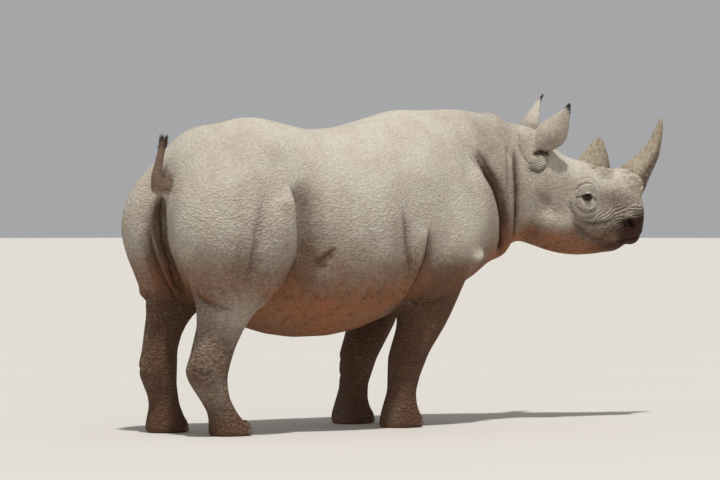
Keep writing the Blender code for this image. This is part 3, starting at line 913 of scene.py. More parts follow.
# --- features of the hide ------------------------------------------------------------------------
@dataclass(frozen=True)
class Skin:
    """Vertices of the hide, with the left side folded onto the right."""

    points: Array
    normals: Array

    @classmethod
    def folded(cls, points: Array, normals: Array) -> "Skin":
        """Folds the left side over.

        Args:
            points: Vertices on the straight spine.
            normals: Their normals.

        Returns:
            The folded skin.
        """
        side = np.where(points[:, 1] > 0, -1.0, 1.0)
        flip = np.stack([np.ones_like(side), side, np.ones_like(side)], axis=1)
        return cls(points * flip, normals * flip)

    def near(self, centre: Point, reach: float) -> Array:
        """Numbers of the vertices within reach of a centre."""
        return np.flatnonzero(((self.points - np.array(centre)) ** 2).sum(axis=1) < reach * reach)

    def glow(self, centre: Point, radii: Point) -> Array:
        """A number for each vertex that is 1 at the centre and fades away with distance."""
        return np.exp(-(((self.points - np.array(centre)) / np.array(radii)) ** 2).sum(axis=1))

    def beside(self, path: Array, reach: float) -> tuple[Array, Array, Array]:
        """Finds the vertices beside a path.

        Args:
            path: Points along it.
            reach: How far from it to look.

        Returns:
            The vertices' numbers, their distance to the right of the path, as someone sees it who
            walks along it on the skin, and their share of the way along it.
        """
        low, high = path.min(axis=0) - reach, path.max(axis=0) + reach
        found = np.flatnonzero(((self.points > low) & (self.points < high)).all(axis=1))
        if not len(found):
            return found, np.zeros(0), np.zeros(0)
        points, normals = self.points[found], self.normals[found]
        gap = (points**2).sum(axis=1)[:, None] + (path**2).sum(axis=1) - 2 * points @ path.T
        nearest = gap.argmin(axis=1)
        heading = np.gradient(path, axis=0)
        step = norm(heading, axis=1, keepdims=True)
        heading = heading / step
        length = np.concatenate([[0.0], np.cumsum(norm(np.diff(path, axis=0), axis=1))])
        away = points - path[nearest]
        ahead = heading[nearest]
        right = np.cross(ahead, normals)
        right /= np.maximum(norm(right, axis=1, keepdims=True), 1e-6)
        along = (away * ahead).sum(axis=1)
        beside = (away * right).sum(axis=1)
        share = np.clip((length[nearest] + along) / length[-1], 0.0, 1.0)
        close = (np.abs(beside) < reach) & (gap.min(axis=1) < (2.0 * reach) ** 2)
        return found[close], beside[close], share[close]


@dataclass(frozen=True)
class Bulge:
    """A swelling or hollow that fades away with distance."""

    centre: Point
    radii: Point
    rise: float

    def height(self, skin: Skin) -> Array:
        """How far each vertex of the skin rises."""
        return self.rise * skin.glow(self.centre, self.radii)


def bulge(*sizes: int) -> Bulge:
    """A swelling in millimetres: its centre, its three radii and its rise."""
    numbers = [size / 1000 for size in sizes]
    return Bulge(tuple(numbers[:3]), tuple(numbers[3:6]), numbers[6])


@dataclass(frozen=True)
class Crease:
    """A fold line with a groove and painted shade, and skin that may swell on either side of it."""

    path: tuple[Point, ...]
    depth: float
    half: float
    right: float = 0.0
    left: float = 0.0
    ink: float = 0.8
    fade: float = 0.22
    close: float = 0.22
    draw: float = 0.03
    bare_and_shade: float = 0.0
    spread: float = 0.04
    shift: float = 0.0
    both: bool = True

    def beside(self, skin: Skin, reach: float) -> tuple[Array, Array, Array]:
        """Finds the skin beside the fold.

        Args:
            skin: The skin.
            reach: How far from the fold to look.

        Returns:
            The vertices' numbers, their distance to the fold's right and the fold's strength there.
        """
        found, beside, share = skin.beside(smooth_path(self.path), reach)
        if len(found):
            beside = beside + 0.25 * self.half * blot(skin.points[found], 0.05, 5)
        return found, beside, ease(0.0, self.fade, share) * ease(1.0, 1.0 - self.close, share)

    def groove(self, skin: Skin) -> Array:
        """How far each vertex of the skin sinks into the fold."""
        made = np.zeros(len(skin.points))
        found, beside, taper = self.beside(skin, 5.0 * self.half)
        size = beside / self.half
        made[found] = -self.depth * taper * np.exp(-1.3 * (np.sqrt(size * size + 0.06) - 0.245))
        return made

    def swell(self, skin: Skin) -> Array:
        """How far each vertex of the skin rises beside the fold."""
        made = np.zeros(len(skin.points))
        found, beside, taper = self.beside(skin, 9.0 * self.half)
        for rise, way in ((self.right, beside), (self.left, -beside)):
            far = np.maximum(way / (2.2 * self.half), 0.0)
            made[found] += rise * taper * far * np.exp(1.0 - far)
        return made

    def line(self, skin: Skin) -> tuple[Array, Array, Array]:
        """Where the shader draws the fold, as a bump and a line of painted shade.

        Args:
            skin: The skin.

        Returns:
            The vertices' numbers, their distance from the line and how strongly it shows.
        """
        found, beside, taper = self.beside(skin, self.draw)
        return found, beside, self.ink * taper * ease(self.draw, 0.6 * self.draw, np.abs(beside))

    def shade(self, skin: Skin) -> Array:
        """How much each vertex darkens beside the fold: partly bare of dust, partly painted shade."""
        made = np.zeros(len(skin.points))
        if self.bare_and_shade:
            found, beside, taper = self.beside(skin, 2.5 * self.spread)
            made[found] = self.bare_and_shade * taper * np.exp(-(((beside - self.shift) / self.spread) ** 2))
        return made


def wobble(points: Array, spacing: float, wander: float, seed: int) -> Array:
    """How far wrinkles stray from their even course, as a share of their spacing.

    Args:
        points: Places on the skin.
        spacing: Distance from one wrinkle to the next.
        wander: How much they stray.
        seed: Picks the pattern. The next number is used too.

    Returns:
        A number for each place.
    """
    broad, fine = blot(points, 3.2 * spacing, seed), blot(points, spacing, seed + 1)
    return wander * broad + 0.35 * wander * fine


@dataclass(frozen=True)
class Wrinkles:
    """Near-parallel wrinkles that keep their distance from a guide line."""

    guide: tuple[Point, ...]
    spacing: float
    left: float
    right: float
    height: float
    amount: float
    fade: float = 0.2
    close: float = 0.2
    wander: float = 0.55

    def count(self, skin: Skin) -> tuple[Array, Array, Array]:
        """Counts the wrinkles.

        Args:
            skin: The folded skin.

        Returns:
            The vertices' numbers, their phase, which is whole in each groove, and their strength.
        """
        found, beside, share = skin.beside(smooth_path(self.guide), max(self.left, self.right))
        if not len(found):
            return found, beside, share
        points = skin.points[found]
        phase = beside / self.spacing + wobble(points, self.spacing, self.wander, 11)
        strength = ease(-self.left, -0.6 * self.left, beside) * ease(self.right, 0.6 * self.right, beside)
        strength *= ease(0.0, self.fade, share) * ease(1.0, 1.0 - self.close, share)
        strength *= 0.72 + 0.4 * blot(points, 2.5 * self.spacing, 13)
        return found, phase, np.clip(strength, 0.0, 1.0)


@dataclass(frozen=True)
class Rings:
    """Wrinkles that run round a centre, seen from the side, through part of the circle."""

    centre: Point
    inner: float
    outer: float
    spacing: float
    bearing: float
    spread: float
    height: float
    amount: float
    squash: float = 1.0
    wander: float = 0.4

    def count(self, skin: Skin) -> tuple[Array, Array, Array]:
        """Counts the wrinkles.

        Args:
            skin: The folded skin.

        Returns:
            The vertices' numbers, their phase, which is whole in each groove, and their strength.
        """
        found = skin.near(self.centre, 1.4 * self.outer)
        points = skin.points[found]
        ahead, up = points[:, 0] - self.centre[0], (points[:, 2] - self.centre[2]) * self.squash
        reach = np.hypot(ahead, up)
        turn = np.degrees(np.arctan2(up, ahead)) - self.bearing
        turn = np.abs((turn + 180.0) % 360.0 - 180.0)
        phase = reach / self.spacing + wobble(points, self.spacing, self.wander, 21)
        strength = ease(self.inner, self.inner + 0.3 * (self.outer - self.inner), reach)
        strength *= ease(self.outer, self.outer - 0.35 * (self.outer - self.inner), reach)
        strength *= ease(self.spread, 0.6 * self.spread, turn)
        strength *= 0.78 + 0.35 * blot(points, 2.5 * self.spacing, 23)
        return found, phase, np.clip(strength, 0.0, 1.0)


EYE = (1.763, -0.151, 1.168)
NOSTRIL = (2.044, -0.1, 1.027)
MUSCLES = (
    bulge(-205, -400, 1060, 55, 200, 170, -12),  # hollow before the thigh
    bulge(-120, -420, 860, 100, 200, 80, -10),
    bulge(-385, -420, 980, 70, 220, 200, 16),  # front of the thigh
    bulge(-535, -430, 860, 30, 200, 120, -8),  # groove down the thigh
    bulge(-660, -360, 860, 70, 200, 160, 12),
    bulge(-676, -299, 700, 35, 60, 26, 12),  # folds behind the stifle
    bulge(-600, -340, 685, 45, 80, 30, 8),
    bulge(-340, -330, 1440, 80, 120, 60, 12),  # point of the hip
    bulge(-640, -200, 1330, 90, 140, 90, 10),  # pin bone
    bulge(200, -420, 880, 100, 250, 200, 8),
    bulge(50, -440, 1050, 30, 200, 220, -4),  # ribs
    bulge(140, -440, 1030, 30, 200, 220, -4),
    bulge(230, -440, 1030, 30, 200, 200, -4),
    bulge(620, -360, 1320, 70, 200, 200, 12),  # ridge of the shoulder blade
    bulge(760, -340, 1200, 50, 200, 200, -8),
    bulge(460, -380, 1220, 50, 200, 180, -6),
    bulge(660, -360, 780, 100, 200, 100, 14),  # elbow
    bulge(800, -380, 950, 130, 200, 130, 10),
    bulge(950, -320, 850, 44, 80, 31, 27),  # knob before the shoulder
    bulge(1015, -300, 866, 40, 80, 29, 27),
    bulge(985, -310, 806, 65, 80, 22, -12),
    bulge(1020, -300, 1100, 70, 160, 170, 16),  # front of the shoulder
    bulge(1270, -200, 1060, 40, 160, 220, 12),  # band of the neck
    bulge(1280, -140, 910, 40, 120, 60, 16),
    bulge(1280, 0, 1585, 45, 160, 60, 16),  # roll of the nape
    bulge(1365, 0, 1575, 35, 140, 60, -12),
    bulge(1763, -170, 1218, 60, 60, 34, 12),  # upper eyelid
    bulge(1775, -170, 1100, 64, 60, 26, 10),  # bag under the eye
    bulge(1580, -160, 1030, 85, 80, 65, 13),  # cheek
    bulge(1480, -180, 1190, 45, 80, 100, 8),
    bulge(1545, -170, 1130, 30, 80, 50, -7),
    bulge(1655, -170, 1190, 26, 80, 100, -10),  # dip behind the eye
    bulge(1730, -140, 1000, 40, 80, 35, -10),  # dip between cheek and snout
    bulge(1930, -120, 1190, 60, 80, 50, 7),
    bulge(2035, -105, 1064, 50, 50, 18, 10),  # rim over the nostril
    bulge(2000, -100, 985, 50, 50, 30, 6),  # side of the upper lip
)

FLANK = trail(
    -291, -387, 1241, -259, -401, 1167, -256, -414, 1045, -244, -405, 897, -267, -387, 823, -304, -363, 765,
    -379, -348, 692, -414, -281, 607,
)
COLLAR = trail(
    985, -230, 1420, 1008, -237, 1393, 1057, -253, 1342, 1092, -266, 1280, 1140, -264, 1213,
    1182, -254, 1136, 1215, -230, 1048, 1235, -185, 943, 1245, -130, 870,
)
THROAT = trail(1345, -150, 1440, 1335, -198, 1296, 1333, -202, 1125, 1345, -140, 985, 1355, -60, 930)
LOIN = trail(385, -420, 1150, 396, -422, 1105, 403, -429, 980, 426, -418, 879, 473, -374, 757)
ARM = trail(
    590, -414, 1030, 572, -414, 970, 554, -411, 887, 532, -390, 802, 527, -347, 730, 518, -310, 679,
    521, -258, 632,
)
LIPS = trail(2132, -12, 966, 2112, -40, 957, 2075, -58, 949, 2010, -71, 938, 1945, -75, 922, 1895, -73, 908)
CLEFT = trail(-775, 22, 1190, -767, 30, 1130, -764, 30, 970, -703, 36, 823, -618, 66, 701, -570, 76, 640)
SEAM = trail(-778, 92, 1050, -755, 95, 915, -695, 100, 786, -628, 102, 674, -590, 96, 636)
CREASES = (
    # Before the thigh's fold the flank is darkened: painted shadow of the thigh, partly bare skin.
    Crease(FLANK, 0.026, 0.02, right=0.028, left=-0.012, ink=0.6, fade=0.14, close=0.1, bare_and_shade=0.45,
        spread=0.075, shift=-0.05),
    Crease(LOIN, 0.008, 0.01, right=0.004, left=0.006, ink=0.35, bare_and_shade=0.2, spread=0.025, fade=0.3),
    Crease(ARM, 0.022, 0.015, right=0.016, left=-0.005, ink=0.6, bare_and_shade=0.35, spread=0.03, shift=-0.015),
    Crease(trail(470, -410, 930, 478, -400, 840, 492, -360, 740), 0.006, 0.01, left=0.004, ink=0.3),
    # The neck in front of the collar fold is darkened: partly bare skin, partly painted shade.
    Crease(COLLAR, 0.046, 0.024, right=0.028, left=0.006, ink=0.55, fade=0.34, close=0.12, draw=0.04,
        bare_and_shade=0.7, spread=0.045, shift=-0.022),
    Crease(trail(975, -250, 1395, 1025, -262, 1325, 1068, -272, 1250, 1100, -275, 1190),
        0.008, 0.008, right=0.003, ink=0.45),
    Crease(trail(1045, -235, 1420, 1085, -250, 1365, 1120, -262, 1300, 1160, -260, 1240),
        0.008, 0.008, left=0.003, ink=0.45),
    Crease(THROAT, 0.024, 0.014, right=0.012, left=0.009, ink=0.6, fade=0.24, close=0.14, bare_and_shade=0.4,
        spread=0.03),
    Crease(trail(1304, -160, 1461, 1271, -209, 1332, 1258, -230, 1203, 1275, -215, 1080),
        0.009, 0.011, right=0.004, ink=0.3),
    Crease(trail(1686, -173, 1197, 1724, -166, 1226, 1774, -153, 1236, 1812, -145, 1214),
        0.006, 0.006, left=0.003, ink=0.4, draw=0.012),
    Crease(trail(1674, -174, 1223, 1726, -159, 1256, 1792, -140, 1261, 1840, -133, 1232),
        0.004, 0.007, ink=0.25, draw=0.014),
    Crease(trail(1690, -174, 1150, 1712, -167, 1110, 1763, -154, 1088, 1818, -144, 1102, 1840, -138, 1140),
        0.007, 0.006, left=0.002, ink=0.5, draw=0.012),
    Crease(trail(1662, -177, 1165, 1671, -170, 1108, 1715, -157, 1064, 1777, -148, 1055, 1851, -134, 1086),
        0.008, 0.007, left=0.002, ink=0.6, draw=0.014),
    Crease(trail(1668, -163, 1100, 1700, -162, 1056, 1761, -146, 1030, 1854, -127, 1030, 1974, -114, 1060),
        0.009, 0.008, left=0.003, ink=0.6, draw=0.016),
    Crease(trail(1660, -165, 1080, 1690, -160, 1035, 1760, -130, 975, 1850, -100, 945, 1930, -90, 955),
        0.01, 0.01, right=0.006, ink=0.45),
    Crease(trail(1784, -148, 1168, 1806, -143, 1160, 1828, -140, 1142),
        0.005, 0.005, ink=0.9, fade=0.12, draw=0.012),
    Crease(trail(1742, -158, 1166, 1716, -166, 1166, 1692, -173, 1158),
        0.005, 0.005, ink=0.9, fade=0.12, draw=0.012),
    # Under the knob the skin is darkened: painted shade below it.
    Crease(trail(915, -340, 842, 950, -320, 824, 995, -305, 828, 1045, -285, 850),
        0.006, 0.008, ink=0.7, draw=0.014, bare_and_shade=0.3, spread=0.012),
    Crease(LIPS, 0.015, 0.007, left=0.003, right=0.007, ink=0.55, fade=0.1, close=0.45, draw=0.014),
    Crease(trail(1373, -134, 984, 1478, -79, 962, 1562, -79, 925, 1680, -70, 897), 0.005, 0.016, ink=0.15),
    Crease(trail(1440, -171, 1240, 1500, -169, 1160, 1585, -171, 1090, 1690, -165, 1040),
        0.006, 0.022, ink=0.0, fade=0.4, close=0.4, bare_and_shade=0.3, spread=0.05),
    Crease(trail(-458, -400, 1200, -480, -415, 1130, -528, -447, 1000, -543, -427, 850, -512, -405, 750),
        0.012, 0.02, left=0.008, right=0.004, ink=0.0, fade=0.35, close=0.35, bare_and_shade=0.22, spread=0.028),
    Crease(trail(-605, -432, 1030, -613, -419, 892, -600, -385, 770),
        0.007, 0.02, left=0.004, ink=0.0, fade=0.4, close=0.4, bare_and_shade=0.12, spread=0.028),
    # The cleft under the tail is darkened widely: painted shadow of the tail's base.
    Crease(CLEFT, 0.05, 0.024, right=0.012, ink=0.9, fade=0.08, bare_and_shade=1.0, spread=0.034, both=False),
    Crease(SEAM, 0.014, 0.012, left=0.004, ink=0.5, fade=0.45, bare_and_shade=0.35, spread=0.02, both=False),
    Crease(trail(-720, -176, 719, -705, -240, 681, -683, -276, 657, -631, -312, 634, -570, -335, 630),
        0.009, 0.014, left=0.006, ink=0.3, bare_and_shade=0.2, spread=0.03),
    Crease(trail(-457, -387, 709, -468, -345, 645, -480, -310, 600), 0.007, 0.012, right=0.004, ink=0.3),
    Crease(trail(-33, -446, 930, -73, -433, 895, -119, -412, 851, -160, -401, 822),
        0.003, 0.008, ink=0.55, bare_and_shade=0.35, spread=0.014),
    Crease(trail(-150, -412, 860, -107, -412, 840, -79, -425, 820),
        0.002, 0.008, ink=0.4, bare_and_shade=0.25, spread=0.016),
    Crease(trail(518, -278, 640, 598, -307, 630, 683, -339, 646, 763, -346, 686),
        0.007, 0.012, left=0.003, ink=0.3),
    Crease(trail(480, -200, 270, 534, -267, 242, 620, -270, 250), 0.006, 0.01, left=0.003, ink=0.3),
    Crease(trail(505, -222, 325, 560, -280, 332, 640, -270, 342), 0.005, 0.01, left=0.003, ink=0.3),
    Crease(trail(-752, -190, 340, -745, -238, 321, -719, -275, 310, -672, -293, 321),
        0.006, 0.01, left=0.003, ink=0.3),
    Crease(trail(1412, -99, 1514, 1386, -147, 1436, 1408, -164, 1368, 1438, -174, 1316),
        0.007, 0.012, left=0.006, ink=0.3),
    Crease(trail(1435, -170, 1330, 1445, -178, 1308, 1491, -182, 1300, 1544, -165, 1335),
        0.009, 0.007, left=0.003, ink=0.6, draw=0.014, bare_and_shade=0.3, spread=0.02),
    # Between the ear and the knot under it the groove is darkened: painted shade.
    Crease(trail(1440, -175, 1378, 1479, -184, 1392, 1530, -154, 1396, 1570, -150, 1380),
        0.014, 0.009, right=0.004, ink=0.9, draw=0.02, bare_and_shade=0.6, spread=0.02),
)

SNOUT = trail(
    2150, -40, 1120, 2100, -90, 1116, 2021, -112, 1106, 1926, -119, 1075, 1853, -128, 1039,
    1790, -134, 1006, 1725, -136, 985, 1660, -140, 975,
)
WRIST = trail(500, -215, 330, 560, -300, 338, 680, -270, 345, 700, -200, 345)
HOCK = trail(-760, -200, 330, -700, -290, 335, -600, -290, 350, -550, -200, 350)
FOLDS = (
    Wrinkles(SNOUT, 0.0165, 0.12, 0.045, 0.012, 1.2, fade=0.05, close=0.36, wander=0.85),
    Wrinkles(trail(2110, -85, 1175, 2020, -110, 1172, 1930, -120, 1158, 1840, -130, 1130),
        0.013, 0.055, 0.075, 0.004, 0.85, wander=0.8),
    Rings(EYE, 0.03, 0.13, 0.013, -80.0, 100.0, 0.005, 1.05, squash=1.25, wander=1.0),
    Rings(EYE, 0.031, 0.092, 0.0135, 95.0, 100.0, 0.003, 0.65, squash=0.9, wander=1.0),
    Rings(EYE, 0.07, 0.22, 0.015, 5.0, 60.0, 0.0038, 0.9, squash=0.8, wander=1.3),
    Wrinkles(THROAT, 0.019, 0.01, 0.125, 0.0034, 0.8, fade=0.06, wander=0.8),
    Wrinkles(COLLAR, 0.018, 0.11, 0.08, 0.0036, 0.85, fade=0.06, wander=0.8),
    Rings((1.47, -0.165, 1.39), 0.045, 0.17, 0.015, 195.0, 85.0, 0.0048, 1.1, wander=0.6),
    Wrinkles(trail(1430, -180, 1318, 1480, -190, 1345, 1560, -165, 1366),
        0.011, 0.036, 0.032, 0.0055, 1.2, fade=0.08, wander=0.35),
    Wrinkles(trail(1400, -100, 955, 1480, -75, 920, 1600, -70, 880), 0.016, 0.07, 0.06, 0.001, 0.4),
    Wrinkles(trail(1440, -170, 1300, 1420, -180, 1150, 1450, -150, 1020),
        0.014, 0.11, 0.06, 0.002, 0.34, wander=1.3),
    Wrinkles(trail(1900, -90, 925, 1980, -85, 900, 2050, -50, 895), 0.011, 0.03, 0.03, 0.002, 0.7),
    Wrinkles(WRIST, 0.018, 0.1, 0.1, 0.002, 0.7, fade=0.06, wander=0.8),
    Wrinkles(trail(470, -215, 130, 530, -285, 130, 620, -260, 130, 640, -200, 130),
        0.014, 0.05, 0.05, 0.0012, 0.6, fade=0.06),
    Wrinkles(HOCK, 0.018, 0.1, 0.1, 0.002, 0.7, fade=0.06, wander=0.8),
    Wrinkles(trail(-700, -200, 135, -640, -285, 135, -560, -280, 135, -480, -200, 135),
        0.014, 0.045, 0.05, 0.0012, 0.6, fade=0.06),
    Wrinkles(trail(640, -340, 720, 720, -350, 730, 820, -345, 780), 0.017, 0.1, 0.1, 0.001, 0.4),
    Wrinkles(trail(-720, -230, 640, -630, -315, 640, -500, -340, 670), 0.019, 0.1, 0.09, 0.0012, 0.4),
    Wrinkles(trail(120, -440, 1300, 120, -450, 1100, 130, -450, 860),
        0.024, 0.34, 0.3, 0.003, 0.42, wander=1.3),
)
FACE = (
    ((1.763, -0.151, 1.168), 0.105), ((1.79, -0.13, 1.045), 0.08), ((1.89, -0.115, 1.02), 0.09),
    ((1.98, -0.105, 1.03), 0.09), ((2.07, -0.07, 1.04), 0.09), ((2.06, -0.03, 0.95), 0.08),
    ((1.725, -0.135, 0.99), 0.072), ((1.478, -0.17, 1.35), 0.07),
)
FINEST = ((EYE, 0.046), (NOSTRIL, 0.038))
SEATS = (((2.075, 0.0, 1.245), 0.112), ((1.868, 0.0, 1.315), 0.125))


def loft(rings: Sequence[Array]) -> Shape:
    """Skins closed rings into one closed tube with flat ends.

    Args:
        rings: Points of each ring, as many in each.

    Returns:
        The tube.
    """
    mesh = bmesh.new()
    rows = [[mesh.verts.new(point) for point in ring] for ring in rings]
    for low, high in zip(rows, rows[1:]):
        for i in range(len(low)):
            k = (i + 1) % len(low)
            mesh.faces.new((low[i], low[k], high[k], high[i]))
    mesh.faces.new(rows[0][::-1])
    mesh.faces.new(rows[-1])
    bmesh.ops.recalc_face_normals(mesh, faces=mesh.faces)
    return mesh


EAR_ROWS = (
    (0.0, 0.04, 165.0, 0.0), (0.14, 0.05, 160.0, 0.002), (0.28, 0.07, 128.0, 0.01),
    (0.42, 0.08, 104.0, 0.017), (0.56, 0.074, 92.0, 0.022), (0.7, 0.055, 84.0, 0.02),
    (0.83, 0.033, 76.0, 0.013), (0.94, 0.014, 68.0, 0.004), (1.0, 0.006, 62.0, 0.0),
)


@dataclass(frozen=True)
class Ear:
    """A leaf rolled into a cup at its root and opening towards its tip."""

    root: Point
    tip: Point
    back: float
    wall: float = 0.0105
    points: int = 17

    def axes(self) -> tuple[Array, Array, Array, Array]:
        """Directions of the ear.

        Returns:
            Towards its tip, out of its back, across it, and towards its front edge.
        """
        axis = unit(np.array(self.tip) - np.array(self.root))
        heading = math.radians(self.back)
        back = np.array([math.cos(heading), math.sin(heading), 0.0])
        back = unit(back - axis * (back @ axis))
        across = np.cross(axis, back)
        return axis, back, across, across if across[0] > 0 else -across

    def section(self, reach: float) -> tuple[Array, float, float]:
        """The ear's cross-section.

        Args:
            reach: Share of the way to the tip.

        Returns:
            Middle of its arc, the arc's radius and half its angle.
        """
        _, back, _, front = self.axes()
        columns = np.array(EAR_ROWS).T
        half, wrap, lean = (float(np.interp(reach, columns[0], column)) for column in columns[1:])
        angle = math.radians(wrap)
        radius = half / math.sin(min(angle, math.pi / 2))
        middle = np.array(self.root) * (1 - reach) + np.array(self.tip) * reach + front * lean
        return middle - back * (radius - 0.045) * 0.6, radius, angle

    def ring(self, reach: float) -> Array:
        """Points round the wall of the ear.

        Args:
            reach: Share of the way to the tip.

        Returns:
            The points, the outer face first and then the inner one.
        """
        _, back, across, _ = self.axes()
        middle, radius, wrap = self.section(reach)
        wall = min(self.wall, radius * 0.6)
        angles = np.linspace(-wrap, wrap, self.points)
        made = []
        for size, sweep in ((radius, angles), (radius - wall, angles[::-1])):
            out = np.outer(np.cos(sweep), back) + np.outer(np.sin(sweep), across)
            made.append(middle + out * size)
        return np.vstack(made)

    def mesh(self) -> Shape:
        """The ear as a closed mesh in the frame."""
        return loft([BEND.to_frame(self.ring(reach)) for reach in np.linspace(0.0, 1.0, 41)])

    def share(self, points: Array) -> tuple[Array, Array]:
        """Where points lie on the ear.

        Args:
            points: Points on the straight spine.

        Returns:
            Their share of the way to the tip and their distance from the ear's middle line.
        """
        root, tip = np.array(self.root), np.array(self.tip)
        along = (points - root) @ (tip - root) / ((tip - root) @ (tip - root))
        spot = root + np.clip(along, 0.0, 1.0)[:, None] * (tip - root)
        return along, norm(points - spot, axis=1)

    def rim(self, reach: float, front: bool) -> tuple[Array, Array]:
        """A point on the edge of the leaf.

        Args:
            reach: Share of the way to the tip.
            front: On the front edge, and not the rear one.

        Returns:
            The point and the direction in which hair stands there, on the straight spine.
        """
        axis, back, across, ahead = self.axes()
        middle, radius, wrap = self.section(reach)
        sign = 1.0 if (across @ ahead > 0) == front else -1.0
        out = back * math.cos(wrap) + across * math.sin(wrap) * sign
        lie = axis * 1.1 + (ahead if front else -ahead) * 0.55
        return middle + out * (radius - 0.5 * self.wall), unit(lie)


EARS = (
    Ear((1.5, 0.12, 1.42), (1.688, 0.2, 1.694), 168.0),
    Ear((1.462, -0.12, 1.39), (1.65, -0.205, 1.645), -122.0),
)


def eye_axes() -> Array:
    """Forward, up and outward directions of the right eye, one row each, on the straight spine."""
    outward = unit(np.array([0.22, -0.97, 0.1]))
    forward = np.array([1.0, 0.0, -0.12])
    forward = unit(forward - outward * (forward @ outward))
    return np.stack([forward, np.cross(outward, forward), outward])


def nostril_reach(points: Array) -> Array:
    """How far points lie from the middle of the nostril, 1 on its rim."""
    away = points - np.array(NOSTRIL)
    ahead, up = away @ np.array([0.93, 0.0, -0.36]), away @ np.array([0.36, 0.0, 0.93])
    return np.sqrt((ahead / 0.03) ** 2 + ((up + 0.25 * ahead) / 0.0175) ** 2 + (away[:, 1] / 0.07) ** 2)


def calm(points: Array) -> Array:
    """Share of the wrinkles left near the nostril and on the muzzle."""
    mouth = norm(points - np.array([2.125, -0.03, 0.965]), axis=1)
    return ease(1.1, 2.2, nostril_reach(points)) * (0.25 + 0.75 * ease(0.07, 0.14, mouth))


def lid_edges(ahead: Array) -> tuple[Array, Array]:
    """Heights of the upper and lower lid's edge above the middle of the eye."""
    share = np.abs(ahead / 0.0275)
    return 0.0088 - 0.012 * share**2 + 0.08 * ahead, -0.0165 * (1.0 - share**1.5) - 0.003


def lid_gap(skin: Skin, found: Array) -> tuple[Array, Array, Array, Array]:
    """Measures the skin against the opening between the eyelids, as seen facing the eye.

    Args:
        skin: The folded skin.
        found: Numbers of the vertices to measure.

    Returns:
        How far each lies inside the opening, above its upper edge, ahead of the eye's middle and in
        front of it.
    """
    ahead, up, out = ((skin.points[found] - np.array(EYE)) @ eye_axes().T).T
    top, bottom = lid_edges(ahead)
    inside = np.where(out > -0.004, np.minimum(top - up, up - bottom), -0.05)
    return inside, up - top, ahead, out


